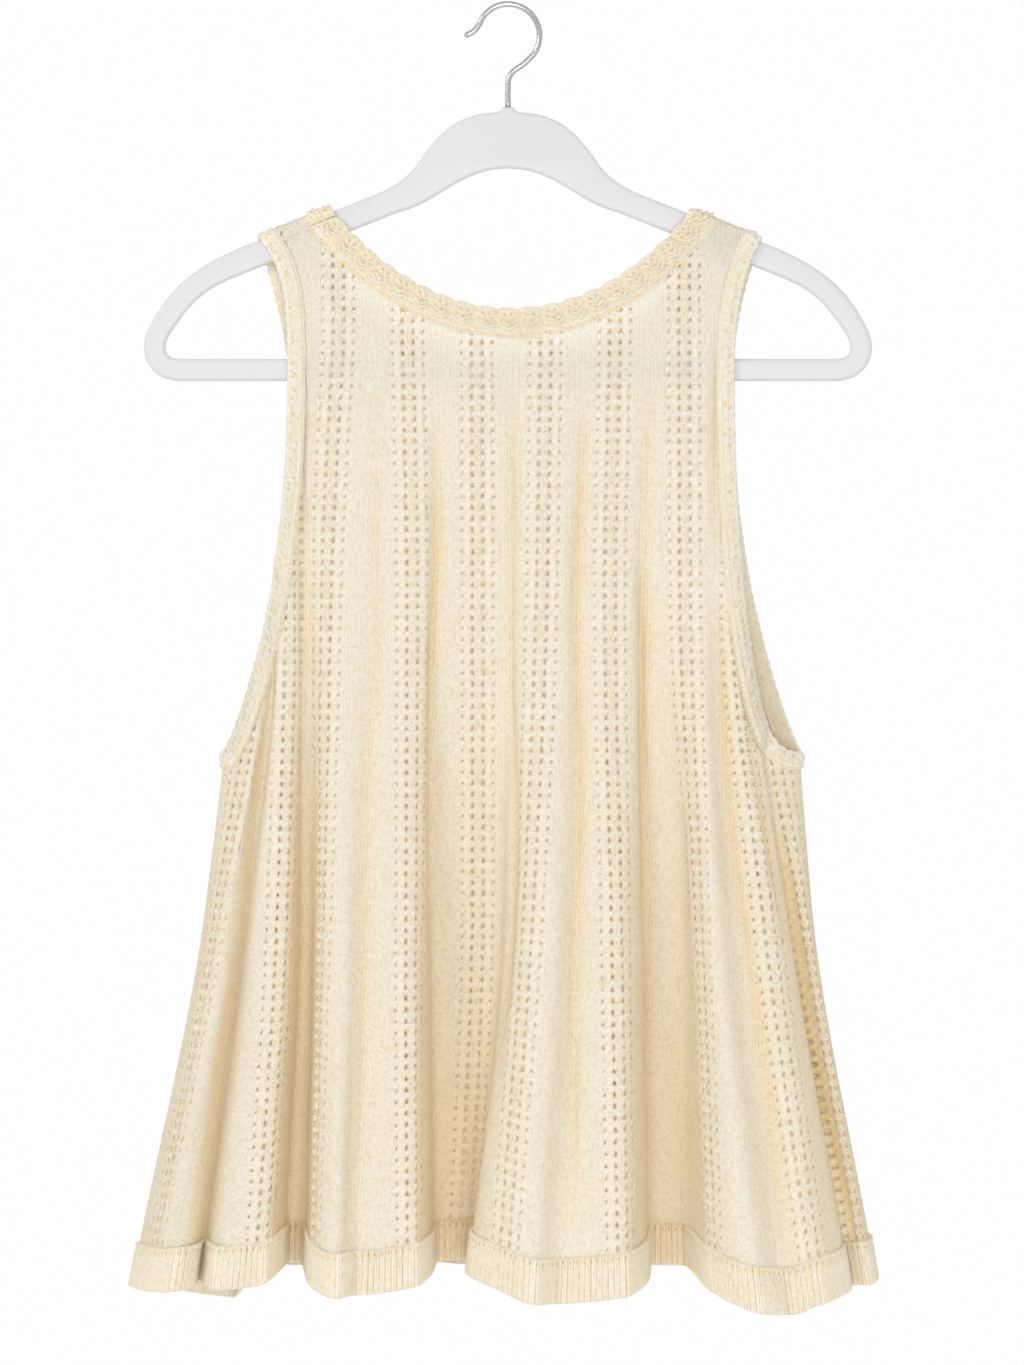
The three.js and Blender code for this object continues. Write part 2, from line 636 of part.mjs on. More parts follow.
function hangerHook() {
  const centre = -HOOK_RADIUS + WIRE;
  const bend = range(15).map((i) => {
    const angle = THREE.MathUtils.degToRad(lerp(118, -32, i / 14));
    return new THREE.Vector3(HOOK_RADIUS * Math.cos(angle), 0, centre + HOOK_RADIUS * Math.sin(angle));
  });
  const lip = [[-24.4, -16.6], [-20.8, -14.7], [-17.4, -10.6], [-14.4, -5.2]];
  const neck = [[9.6, -34], [3.2, -38.6], [0.4, -43], [0, -48], [0, -59.9]];
  const points = [lip, neck].map((list) => list.map(([x, z]) => new THREE.Vector3(x, 0, z)));
  const path = new THREE.CatmullRomCurve3([...points[0], ...bend, ...points[1]]);
  const wire = new THREE.Shape(range(8).map((i) => {
    const angle = (i / 8) * 2 * Math.PI;
    return new THREE.Vector2(WIRE * Math.cos(angle), WIRE * Math.sin(angle));
  }));
  const tube = new THREE.ExtrudeGeometry(wire, { steps: 34, extrudePath: path });
  const tip = new THREE.SphereGeometry(WIRE + 0.25, 10, 6);
  tip.translate(...points[0][0]);
  return toGeometry(toSolid(tube).add(toSolid(tip)));
}

// ---------- the garment and its hanger ----------
function piece(name, geometry, look) {
  const shaped = geometry.toNonIndexed();
  shaped.computeVertexNormals();
  const mesh = new THREE.Mesh(shaped, new THREE.MeshStandardMaterial(look));
  mesh.name = name;
  return mesh;
}

const tankTop = new THREE.Group();
tankTop.add(piece('back_panel', backPanel(), COTTON));
tankTop.add(piece('front_panel', frontPanel(), COTTON));
tankTop.add(piece('back_hem_rib', hemRib(backColumns), RIBBING));
tankTop.add(piece('front_hem_rib', hemRib(frontColumns), RIBBING));
tankTop.add(piece('back_neck_band', backNeckBand(), RIBBING));
tankTop.add(piece('front_neck_band', frontNeckBand(), RIBBING));
tankTop.add(piece('left_armhole_band', armholeBand('Left'), RIBBING));
tankTop.add(piece('right_armhole_band', armholeBand('Right'), RIBBING));
tankTop.add(piece('hanger_body', hangerBody(), PLASTIC));
tankTop.add(piece('hanger_hook', hangerHook(), CHROME));

export default tankTop;
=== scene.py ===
import math
import bmesh
import bpy
import numpy as np
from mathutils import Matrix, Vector


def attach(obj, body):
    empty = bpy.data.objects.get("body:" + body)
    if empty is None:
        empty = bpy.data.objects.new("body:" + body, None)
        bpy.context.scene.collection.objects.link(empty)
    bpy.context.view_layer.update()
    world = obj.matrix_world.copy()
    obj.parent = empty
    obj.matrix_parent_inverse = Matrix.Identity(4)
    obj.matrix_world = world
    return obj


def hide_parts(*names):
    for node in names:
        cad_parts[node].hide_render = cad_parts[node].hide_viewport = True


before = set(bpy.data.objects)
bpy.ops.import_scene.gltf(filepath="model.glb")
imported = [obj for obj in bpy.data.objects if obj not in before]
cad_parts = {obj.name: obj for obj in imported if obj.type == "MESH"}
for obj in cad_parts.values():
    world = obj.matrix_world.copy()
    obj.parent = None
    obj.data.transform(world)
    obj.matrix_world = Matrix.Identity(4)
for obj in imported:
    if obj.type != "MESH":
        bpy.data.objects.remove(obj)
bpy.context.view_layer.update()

mm = 0.001  # every size below is in millimetres, and meshes are made in metres
fullTurn = 2 * math.pi
print("frame loaded")


# How the cloth hangs.
garment = {
    "rest": 4.25,  # middle of the cloth, from the hanger's mid plane
    "roll": 2.8,  # how much higher the bulky shoulder stands at the top of its bend
    "bendCells": 8,  # cells of a band from the arm's face to the top of the bend
    "closeBy": 1.5,  # points nearer than this don't shade each other
    "hemLevel": -757, "hemSettle": 220,
    "centre": 2.1, "lacePitch": 41.4, "middleLace": 4.5,
    "laceColumns": 20,  # all round the garment
    "firstSeam": -0.5, "secondSeam": 9.5,
}
hanger = {
    "thick": 6, "rounded": 2.6, "armSlope": 0.394, "armX": 77, "armZ": -111.6,
    "wire": 1.8, "hookRadius": 19, "hookSteps": 6, "hookSides": 20,
    "curvePoints": 14, "roundCells": 5, "sharpFrom": 40,
}
sideOf = {"back": -1, "front": 1}
clothSpan = {
    "back": (garment["firstSeam"], garment["secondSeam"]),
    "front": (garment["secondSeam"], garment["firstSeam"] + garment["laceColumns"]),
}
levels = np.array([-746.0, -536.0, -360.0, -200.0])  # hem, waist, chest, neck
swell = np.array([0.9, 0.42, 0.08, 0.0])  # share of a fold's reach at each level

# One row for each crest, valley or turn of a fold. lace is the place in the cloth counted in lace
# columns, chest, waist and hem are the places across, out is the reach, and drop is the hem's depth.
foldColumns = ["lace", "chest", "waist", "hem", "out", "drop"]
backFolds = [
    [0, -148, -172, -210, 34, 764],
    [0.3, -144, -163, -194, 54, 761],
    [0.5, -141, -157, -184, 44, 760],
    [0.62, -139, -155, -182, 20, 759],
    [0.8, -136, -148, -169, 54, 760],
    [1, -130, -133, -144, 56, 757],
    [1.2, -125, -126, -134, 34, 751],
    [1.4, -123, -123, -132, 8, 751],
    [1.7, -119, -118, -123, 8, 751],
    [2, -109, -111, -114, 56, 758],
    [2.3, -94, -96, -99, 78, 761],
    [2.55, -81, -83, -89, 66, 761],
    [3, -57, -57, -55, 70, 756],
    [3.2, -47, -48, -46, 44, 753],
    [3.45, -43, -45, -43, 6, 751],
    [4, -18, -18, -26, 6, 750],
    [4.35, -2, -4, -18, 20, 749],
    [4.6, 3, 0, -23, 48, 751],
    [5, 20, 12, -3, 76, 757],
    [5.3, 31, 26, 14, 84, 763],
    [5.55, 42, 40, 30, 70, 765],
    [6, 61, 64, 67, 74, 761],
    [6.2, 76, 79, 81, 44, 757],
    [6.45, 81, 84, 85, 14, 751],
    [6.75, 92, 100, 105, 16, 752],
    [7, 106, 112, 119, 62, 760],
    [7.3, 116, 122, 141, 82, 768],
    [7.5, 124, 134, 160, 66, 772],
    [8, 137, 153, 179, 68, 766],
    [8.25, 143, 164, 197, 42, 763],
    [8.5, 146, 168, 201, 18, 763],
    [9, 150, 175, 211, 24, 762],
]
frontFolds = [
    [0, -150, -170, -206, 30, 774],
    [0.45, -142, -157, -188, 56, 782],
    [0.8, -136, -146, -166, 50, 784],
    [1.1, -129, -137, -155, 12, 762],
    [1.5, -121, -126, -140, 16, 758],
    [2, -108, -112, -118, 62, 766],
    [2.55, -82, -84, -88, 72, 768],
    [3.05, -58, -60, -66, 46, 760],
    [3.3, -49, -52, -60, 10, 756],
    [3.8, -28, -30, -42, 14, 756],
    [4.2, -12, -14, -30, 56, 764],
    [4.7, 10, 8, -4, 76, 768],
    [5.1, 26, 26, 24, 58, 764],
    [5.4, 36, 36, 34, 12, 757],
    [5.9, 58, 58, 52, 12, 757],
    [6.3, 72, 74, 72, 54, 764],
    [6.8, 96, 100, 106, 76, 768],
    [7.2, 112, 116, 126, 50, 762],
    [7.45, 120, 126, 134, 14, 757],
    [7.8, 130, 138, 148, 26, 758],
    [8.3, 142, 156, 176, 62, 766],
    [8.9, 151, 171, 204, 36, 762],
]
sideSeams = [
    [-0.5, -165, -181, -222, 0, 767],
    [9.5, 172, 182, 218, 0, 762],
]


# Slopes of a smooth curve that never overshoots between two of its values.
def steadySlopes(places, values):
    secant = np.diff(values, axis=-1) / np.diff(places, axis=-1)
    before, after = secant[..., :-1], secant[..., 1:]
    product = before * after
    total = np.where(product > 0, before + after, 1.0)
    inner = np.where(product > 0, 2 * product / total, 0.0)
    return np.concatenate([secant[..., :1], inner, secant[..., -1:]], axis=-1)


def eased(t):
    return t * t * (3 - 2 * t)


def steadyStep(t, width, start, end, slopeStart, slopeEnd):
    bend = slopeStart * (1 - t) - slopeEnd * t
    return start + (end - start) * eased(t) + width * (t * (1 - t)) * bend


# The stretch between two marks in which each value lies: its number, its width and the share along it.
def stretchAt(marks, at, first, last):
    i = np.clip(np.searchsorted(marks, at, side="right") - 1, first, last)
    width = marks[i + 1] - marks[i]
    return i, width, (at - marks[i]) / width


def alongHeight(values, slopes, z):  # values and slopes have a last axis of four levels
    i, width, t = stretchAt(levels, z, 0, 2)
    pick = lambda table, k: np.take_along_axis(table, k[..., None], axis=-1)[..., 0]
    ends = [pick(table, k) for table in (values, slopes) for k in (i, i + 1)]
    value = steadyStep(np.clip(t, 0, 1), width, *ends)
    below = (values[..., 1] - values[..., 0]) / (levels[1] - levels[0])
    return value + below * np.minimum(0, z - levels[0])


def ringOfFolds():
    def line(row, side, place):
        fold = dict(zip(foldColumns, row))
        atNeck = garment["centre"] + (fold["lace"] - garment["middleLace"]) * garment["lacePitch"]
        across = [fold["hem"], fold["waist"], fold["chest"], atNeck]
        return [place, side, fold["out"], fold["drop"], *across]
    turn = garment["laceColumns"]
    left, right = [line(row, 0, row[0]) for row in sideSeams]
    back = [line(row, -1, row[0]) for row in backFolds]
    front = [line(row, 1, turn - 1 - row[0]) for row in frontFolds][::-1]
    once = np.array([left, *back, right, *front], dtype=float)
    before, after = once[-3:].copy(), once[:3].copy()
    before[:, 0] -= turn
    after[:, 0] += turn
    return np.concatenate([before, once, after])


ring = ringOfFolds()
ringPlace, ringSide, ringOut, ringDrop = ring[:, :4].T
ringAcross = ring[:, 4:]
ringAcrossSlope = steadySlopes(levels, ringAcross)
swellSlope = steadySlopes(levels, swell)
dropSlope = steadySlopes(ringPlace, ringDrop)


def swellAt(z):
    values, slopes = [np.broadcast_to(table, (*z.shape, 4)) for table in (swell, swellSlope)]
    return np.maximum(0, alongHeight(values, slopes, z))


# Points of the cloth's middle surface at places round it and heights z.
def clothPoints(place, z):
    place, z = np.broadcast_arrays(np.asarray(place, float), np.asarray(z, float))
    i, width, t = stretchAt(ringPlace, place, 1, len(ringPlace) - 3)
    t = np.clip(t, 0, 1)
    near = i[..., None] + np.arange(-1, 3)
    heights = np.broadcast_to(z[..., None], near.shape)
    across = alongHeight(ringAcross[near], ringAcrossSlope[near], heights)
    depth = ringSide[near] * (garment["rest"] + ringOut[near] * swellAt(z)[..., None])
    answer = []
    for values in (across, depth):
        slopes = steadySlopes(ringPlace[near], values)
        answer.append(steadyStep(t, width, values[..., 1], values[..., 2], slopes[..., 1], slopes[..., 2]))
    return np.stack([*answer, z], axis=-1)


def dropAt(place):
    i, width, t = stretchAt(ringPlace, place, 0, len(ringPlace) - 2)
    return steadyStep(t, width, ringDrop[i], ringDrop[i + 1], dropSlope[i], dropSlope[i + 1])


def heightOf(place, length):  # height of a point that lies a length above the hem
    settle = 1 - np.minimum(1, length / garment["hemSettle"])
    return garment["hemLevel"] + length - (dropAt(place) + garment["hemLevel"]) * settle


def armTop(x):
    return hanger["armZ"] - hanger["armSlope"] * (np.abs(x) - hanger["armX"])


def bendAxis(x):  # the cloth bends round this line over the arm
    return armTop(x) - hanger["thick"] / 2


# The cloth laid over the arm: height runs on past the bend and down the other side.
def drapedPoints(place, height, side):
    points = clothPoints(place, height)
    rest = garment["rest"]
    axis = bendAxis(points[..., 0])
    past = height - axis
    angle = np.clip(past / rest, 0, math.pi)
    down = np.maximum(0, past - math.pi * rest)
    reach = rest + garment["roll"] * np.sin(angle) ** 2
    over = [points[..., 0], side * reach * np.cos(angle), axis + reach * np.sin(angle) - down]
    return np.where((past > 0)[..., None], np.stack(over, axis=-1), points)


# Outlines of the openings.
armhole = {
    "centre": 1.2, "narrowZ": -230, "shoulderZ": -138, "underarmZ": -447,
    "band": 10,
}
armEdges = {
    "backLeft": {"narrow": 133, "flare": 18, "rise": 4.5, "turn": 2, "round": 0.8},
    "backRight": {"narrow": 134, "flare": 17, "rise": 3, "turn": 1.7, "round": 0.33},
    "frontLeft": {"narrow": 132, "flare": 19, "rise": 1.6, "turn": 2, "round": 0.8},
    "frontRight": {"narrow": 133, "flare": 18, "rise": 2, "turn": 1.9, "round": 0.91},
}
neck = {
    "bottomBack": -182.4, "bottomFront": -207, "spread": 14.9, "pinch": 0.001, "scoop": 2.2,
    "ridgeZ": -121.4, "band": 16, "aboveArm": 12,
}
shoulder = {
    "seamLeft": 4, "seamRight": 20,  # below the arm's top, on the back
    "start": -175, "spread": 1.1,
}
outlineSteps, halvings = 400, 30


def seamHeight(x):
    return armTop(x) - np.where(x < 0, shoulder["seamLeft"], shoulder["seamRight"])


def seamPlace(outward):  # place of the left or the right side seam
    return garment["firstSeam"] if outward < 0 else garment["secondSeam"]


def armEdge(name):
    edge, outward = armEdges[name], -1 if name.endswith("Left") else 1
    underarm = armhole["underarmZ"]
    share = np.linspace(0, 1, outlineSteps) ** 3
    z = underarm + share * (armhole["shoulderZ"] + neck["aboveArm"] - underarm)
    up = np.clip((z - armhole["narrowZ"]) / (armhole["shoulderZ"] - armhole["narrowZ"]), 0, 1.4)
    down = np.clip((armhole["narrowZ"] - z) / (armhole["narrowZ"] - underarm), 0, 1)
    reach = abs(clothPoints(seamPlace(outward), underarm)[0] - armhole["centre"]) - edge["narrow"]
    half = edge["narrow"] + edge["flare"] * up ** edge["rise"]
    half = half + reach * (1 - (1 - down ** edge["turn"]) ** edge["round"])
    return np.stack([armhole["centre"] + outward * half, z], axis=-1)


def neckEdge(face, outward):
    bottom = neck["bottomBack"] if face == "back" else neck["bottomFront"]
    rise = (neck["ridgeZ"] + neck["aboveArm"] - bottom) * np.linspace(0, 1, outlineSteps) ** 2
    half = lambda r: neck["spread"] * np.sqrt(r) * (1 - neck["pinch"] * r)
    if face == "back":
        wide = half(rise)
    else:
        part = np.clip(rise / (neck["ridgeZ"] - bottom), 0, 1)
        wide = half(neck["ridgeZ"] - neck["bottomBack"]) * np.sqrt(1 - (1 - part) ** neck["scoop"])
    return np.stack([garment["centre"] + outward * wide, bottom + rise], axis=-1)


# The outline moved sideways into the cloth, and along the arm near the shoulder.
def movedIn(points, distance, toward):
    along = np.gradient(points, axis=0)
    along[0] = [toward, 0]
    along = unit(along)
    square = np.stack([along[:, 1], -along[:, 0]], axis=-1) * distance * toward
    downArm = np.stack([np.ones(len(points)), -hanger["armSlope"] * np.sign(points[:, 0])], axis=-1)
    downArm *= distance * toward * shoulder["spread"] / math.hypot(1, hanger["armSlope"])
    t = np.clip((points[:, 1] - shoulder["start"]) / (neck["ridgeZ"] - shoulder["start"]), 0, 1)
    blend = eased(t)[:, None]
    return points + square * (1 - blend) + downArm * blend


# Place in the cloth of points seen at (x, z) on the back (side -1) or the front (side 1).
def placeOf(side, x, z):
    last = garment["laceColumns"]
    left = np.full(len(x), garment["firstSeam"] + (0 if side < 0 else last))
    right = np.full(len(x), float(garment["secondSeam"]))
    for _ in range(halvings):
        middle = (left + right) / 2
        short = clothPoints(middle, z)[:, 0] < x
        left, right = np.where(short, middle, left), np.where(short, right, middle)
    return (left + right) / 2


# An outline laid on the cloth and over the arm, up to the top of the bend.
def laidOnCloth(points, side):
    x, z = points[:, 0], points[:, 1]
    axis, rest = bendAxis(x), garment["rest"]
    rise = z - axis
    below = rise < 0
    low = clothPoints(placeOf(side, x[below], z[below]), z[below])
    angle = np.linspace(0, math.pi / 2, garment["bendCells"] + 1)
    overX = np.interp(rest * np.sin(angle), rise, x)
    over = np.stack([overX, side * rest * np.cos(angle), bendAxis(overX) + rest * np.sin(angle)], axis=-1)
    return np.concatenate([low, over[:1]]), over


def unit(vectors):
    return vectors / np.maximum(np.linalg.norm(vectors, axis=-1, keepdims=True), 1e-9)


def runLength(points):
    steps = np.linalg.norm(np.diff(points, axis=0), axis=1)
    return np.concatenate([[0], np.cumsum(steps)])


def pointsAt(points, at):  # points at given lengths along a line
    run = runLength(points)
    return np.stack([np.interp(at, run, points[:, k]) for k in range(3)], axis=-1)


def evenly(points, count):
    return pointsAt(points, np.linspace(0, runLength(points)[-1], count + 1))


def addObject(name, data):
    item = bpy.data.objects.new(name, data)
    bpy.context.collection.objects.link(item)
    return item


def finishPiece(piece, node=None):
    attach(piece, "root")
    if node:
        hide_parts(node)


# A mesh of the points that the quads use, with a painted shade at each point: 1 deep in a fold, more in a
# pit.
def makeObject(name, points, quads, material, uv=None, node=None, paintedShade=None):
    used, corners = np.unique(quads, return_inverse=True)
    points = np.asarray(points, float).reshape(-1, 3)[used]
    mesh = bpy.data.meshes.new(name)
    mesh.vertices.add(len(points))
    mesh.vertices.foreach_set("co", (points * mm).ravel())
    mesh.loops.add(quads.size)
    mesh.loops.foreach_set("vertex_index", corners.ravel())
    mesh.polygons.add(quads.size // 4)
    mesh.polygons.foreach_set("loop_start", np.arange(0, quads.size, 4))
    if uv is not None:
        layer = mesh.uv_layers.new(name="cloth")
        layer.data.foreach_set("uv", (np.asarray(uv, float) * mm).ravel())
    # the painted shade goes on the mesh as an attribute that the material reads
    if paintedShade is not None:
        shade = mesh.attributes.new("paintedShade", "FLOAT", "POINT")
        values = np.clip(np.ravel(paintedShade)[used], 0, yarn["pit"])
        shade.data.foreach_set("value", values.astype(np.float32))
    mesh.update(calc_edges=True)
    mesh.polygons.foreach_set("use_smooth", [True] * len(mesh.polygons))
    mesh.materials.append(material)
    piece = addObject(name, mesh)
    finishPiece(piece, node)
    print(name, len(mesh.polygons) * 2, "triangles")
    return piece


def pointGrid(rows, columns):  # numbers of the points of a grid
    return np.arange(rows * columns).reshape(rows, columns)


def gridCells(values):  # the four corners of every cell of a grid
    return np.stack([values[:-1, :-1], values[:-1, 1:], values[1:, 1:], values[1:, :-1]], axis=2)


def gridMap(across, up):  # the knit's map over the cells of a grid
    return gridCells(np.stack(np.broadcast_arrays(across, up), axis=-1))


# How far each point of a row is shut in by the folds on both sides of it, from 0 in the open to 1.
def shutIn(grid, side):
    answer = np.zeros(grid.shape[:2])
    for r, row in enumerate(grid):
        ahead = row[None, :, 0] - row[:, None, 0]
        higher = side * (row[None, :, 1] - row[:, None, 1])
        far = np.abs(ahead) > garment["closeBy"]
        angle = np.where(far & (higher > 0), np.arctan2(higher, np.abs(ahead)), 0)
        sides = [np.where(there, angle, 0).max(axis=1) for there in (ahead > 0, ahead < 0)]
        answer[r] = (sides[0] + sides[1]) / math.pi
    return answer


def surfaceNormals(grid):  # grid is rows by columns of points
    return unit(np.cross(np.gradient(grid, axis=1), np.gradient(grid, axis=0)))


class Nodes:  # short forms for building a tree of nodes
    def __init__(self, tree):
        self.tree = tree

    def put(self, socket, value):
        if isinstance(value, bpy.types.NodeSocket):
            self.tree.links.new(value, socket)
        else:
            socket.default_value = value

    def fill(self, node, inputs):
        for key, value in inputs.items():
            self.put(node.inputs[key], value)

    def add(self, kind, inputs=None, **settings):
        node = self.tree.nodes.new(kind)
        for key, value in settings.items():
            setattr(node, key, value)
        self.fill(node, inputs or {})
        return node

    def math(self, operation, *values):
        return self.add("ShaderNodeMath", dict(enumerate(values)), operation=operation).outputs[0]

    def times(self, *values):  # two values multiplied, and a third one added
        return self.math("MULTIPLY" if len(values) == 2 else "MULTIPLY_ADD", *values)

    def minus(self, first, second):
        return self.math("SUBTRACT", first, second)

    def mix(self, factor, first, second):
        inputs = {"Factor": factor, "A": first, "B": second}
        return self.add("ShaderNodeMix", inputs, data_type="RGBA").outputs["Result"]

    def range(self, value, low, high, toLow=0.0, toHigh=1.0):
        inputs = dict(enumerate((value, low, high, toLow, toHigh)))
        return self.add("ShaderNodeMapRange", inputs, interpolation_type="SMOOTHSTEP").outputs[0]

    def noise(self, scale, detail=2.0):
        inputs = {"Scale": scale, "Detail": detail, "Vector": self.objectPlace()}
        return self.add("ShaderNodeTexNoise", inputs).outputs[0]

    def objectPlace(self):
        return self.add("ShaderNodeTexCoord").outputs["Object"]


class Finish(Nodes):  # a material's nodes, round its shader
    def __init__(self, name):
        self.material = bpy.data.materials.new(name)
        self.material.use_nodes = True
        super().__init__(self.material.node_tree)
        self.shader = self.tree.nodes["Principled BSDF"]

    def bump(self, height, distance, strength=1.0):
        inputs = {"Height": height, "Distance": distance, "Strength": strength}
        self.put(self.shader.inputs["Normal"], self.add("ShaderNodeBump", inputs).outputs[0])

    def thin(self, colour, share):  # thin cloth lets some of the light behind it through
        behind = self.add("ShaderNodeBsdfTranslucent", {"Color": colour}).outputs[0]
        both = self.add("ShaderNodeMixShader", {0: share, 1: self.shader.outputs[0], 2: behind})
        self.put(self.tree.nodes["Material Output"].inputs["Surface"], both.outputs[0])


yarn = {
    "crown": (0.965, 0.950, 0.885, 1),  # painted highlight on the crowns of stitches, in random flecks
    "light": (0.945, 0.905, 0.805, 1),
    "gapShadeAndTone": (0.835, 0.710, 0.490, 1),  # painted shade in the gaps between stitches; the random tone also drifts toward it
    "shadeTan": (0.950, 0.805, 0.545, 1),  # painted shade: cloth deep in a fold, then the gaps there and the pits
    "deep": (0.780, 0.590, 0.320, 1),
    "pit": 1.5,  # the painted shade of a pit, which is the most
    "wale": 1.8, "ribWale": 1.7, "course": 1.3,  # one stitch, across and up
    "slant": 1.3, "slack": 0.9, "slackScale": 160.0,  # lean of a stitch's legs, and how unevenly it lies
    "ridge": 3.2, "ridgeFrom": 330, "ridgeFull": 450,  # raised wales, and the lengths where they set in
    "laceHalf": 11.8, "laceSoft": 0.6, "garterRow": 2.2, "garterBead": 2.1, "garter": 0.30,
    "groove": 0.75, "stitch": 0.75, "inGarter": 0.8,  # depth between wales, height of a stitch in each knit
    "grain": 1.7, "grainScale": 480.0, "fluff": 0.45, "fluffScale": 900.0, "tone": 0.10, "toneScale": 35.0,
    "rough": 0.9, "sheen": 0.03, "sheenRough": 0.5, "gloss": 0.2, "bump": 0.32,
    "glow": 0.25, "bandGlow": 0.08,  # share of light that comes through the cloth
    # the loose yarn gets an even painted shade toward tan, in place of the warm light that the cloth around
    # it passes on
    "threadShade": 0.3, "twist": 500.0,
}


# Rows of V stitches from the piece's own map. turned lays the wales along the map's first axis.
def knitMaterial(name, laceHalf=0.0, turned=False, ridges=0.0, wide=yarn["wale"], glow=yarn["glow"]):
    n = Finish(name)
    place = n.add("ShaderNodeSeparateXYZ", {0: n.add("ShaderNodeUVMap", uv_map="cloth").outputs[0]})
    across, up = place.outputs[0], place.outputs[1]
    if turned:
        across, up = up, across
    wobble = n.times(n.minus(n.noise(yarn["slackScale"]), 0.5), yarn["slack"])
    wale = n.times(across, 1 / (wide * mm), n.times(wobble, 0.6))
    course = n.times(up, 1 / (yarn["course"] * mm), wobble)
    leg = n.math("ABSOLUTE", n.minus(n.math("FRACT", wale), 0.5))
    slant = n.times(leg, yarn["slant"], course)
    stitch = n.math("ABSOLUTE", n.math("SINE", n.times(slant, math.pi)))
    side = n.math("POWER", n.times(leg, 2.0), 3.0)
    groove = n.minus(1.0, n.times(side, yarn["groove"]))
    height = n.times(n.times(stitch, yarn["stitch"], 1 - yarn["stitch"]), groove)
    raised = 0.0
    if ridges:
        turn = n.times(across, fullTurn / (yarn["ridge"] * mm), wobble)
        fade = n.range(up, yarn["ridgeFrom"] * mm, yarn["ridgeFull"] * mm, 0.0, ridges)
        raised = n.times(n.math("SINE", turn), fade)
    if laceHalf:  # garter bumps between the eyelets
        edge = [(laceHalf + soft) * mm for soft in (yarn["laceSoft"], -yarn["laceSoft"])]
        inLace = n.range(n.math("ABSOLUTE", across), *edge)
        row = n.times(up, math.pi / (yarn["garterRow"] * mm))
        bead = n.times(across, math.pi / (yarn["garterBead"] * mm), wobble)
        knot = n.times(*(n.math("ABSOLUTE", n.math("SINE", turn)) for turn in (row, bead)))
        garter = n.times(knot, yarn["garter"], n.times(height, yarn["inGarter"]))
        height = n.add("ShaderNodeMix", {0: inLace, 2: height, 3: garter}, data_type="FLOAT").outputs[0]
    finishYarn(n, height, raised, glow)
    return n.material


# height raises the yarn and colours it, with painted highlight on the stitches' crowns and painted shade in
# their gaps, and raised only lifts it.
def finishYarn(n, height, raised=0.0, glow=yarn["glow"], evenShade=0.0):
    fluff = n.noise(yarn["fluffScale"], 3.0)
    grain = n.minus(n.noise(yarn["grainScale"], 3.0), 0.5)
    grain = n.times(grain, yarn["grain"], height)
    # painted shade from the piece's own attribute tints the cloth tan in folds and creases, and deep in pits
    paintedShade = n.add("ShaderNodeAttribute", attribute_name="paintedShade").outputs["Fac"]
    high = n.mix(n.range(grain, 0.60, 1.0), yarn["light"], yarn["crown"])
    high = n.mix(paintedShade, high, yarn["shadeTan"])
    low = n.mix(paintedShade, yarn["gapShadeAndTone"], yarn["deep"])
    colour = n.mix(n.range(grain, 0.05, 0.60), low, high)
    colour = n.mix(n.range(n.noise(yarn["toneScale"]), 0.3, 0.7, 0.0, yarn["tone"]), colour, yarn["gapShadeAndTone"])
    colour = n.mix(n.range(paintedShade, 0.9, yarn["pit"]), colour, yarn["deep"])
    # an even painted shade over the whole piece, toward tan
    if evenShade:
        colour = n.mix(evenShade, colour, yarn["shadeTan"])
    n.fill(n.shader, {
        "Base Color": colour, "Roughness": yarn["rough"], "Sheen Weight": yarn["sheen"],
        "Sheen Roughness": yarn["sheenRough"], "Specular IOR Level": yarn["gloss"]})
    lifted = n.math("ADD", n.times(fluff, yarn["fluff"], height), raised)
    n.bump(lifted, yarn["bump"] * mm)
    if glow:
        n.thin(colour, glow)


def threadMaterial():  # loose yarn, with its twist from place alone
    n = Finish("cottonYarn")
    inputs = {"Vector": n.objectPlace(), "Scale": yarn["twist"], "Distortion": 3.0}
    twist = n.add("ShaderNodeTexWave", inputs, bands_direction="DIAGONAL").outputs["Fac"]
    finishYarn(n, n.times(twist, 0.5, 0.5), glow=0.0, evenShade=yarn["threadShade"])
    return n.material


plasticLook = {
    "dark": 0.64, "pale": 0.67, "metal": 0.0, "rough": (0.38, 0.48),
    "grain": 2600.0, "detail": 3.0, "haze": 14.0, "bump": 0.03, "bumpStrength": 0.4,
}
chromeLook = {
    "dark": 0.50, "pale": 0.60, "metal": 1.0, "rough": (0.18, 0.26),
    "grain": 700.0, "detail": 2.0, "haze": 700.0, "bump": 0.004, "bumpStrength": 0.2,
}


def grey(level):  # the least bit cool
    return (level, level, level + 0.01, 1)


def hardMaterial(name, look):
    n = Finish(name)
    grain = n.noise(look["grain"], look["detail"])
    n.fill(n.shader, {
        "Base Color": n.mix(n.noise(look["haze"]), grey(look["dark"]), grey(look["pale"])),
        "Metallic": look["metal"], "Roughness": n.range(grain, 0.3, 0.7, *look["rough"])})
    n.bump(grain, look["bump"] * mm, look["bumpStrength"])
    return n.material


clothKnit = knitMaterial("cottonLace", laceHalf=yarn["laceHalf"], ridges=0.28)
bandKnit = knitMaterial("cottonBand", turned=True, glow=yarn["bandGlow"])
hemKnit = knitMaterial("cottonRib", wide=yarn["ribWale"], glow=yarn["bandGlow"])
thread = threadMaterial()
plastic = hardMaterial("whitePlastic", plasticLook)
chrome = hardMaterial("brightWire", chromeLook)
print("materials made")


def hump(distance, width):  # 1 in the middle of a soft line or spot
    return np.exp(-(distance / width) ** 2)


def valley(wave):  # 0 on the crests of a wave, 1 in its valleys
    return 0.5 - 0.5 * wave


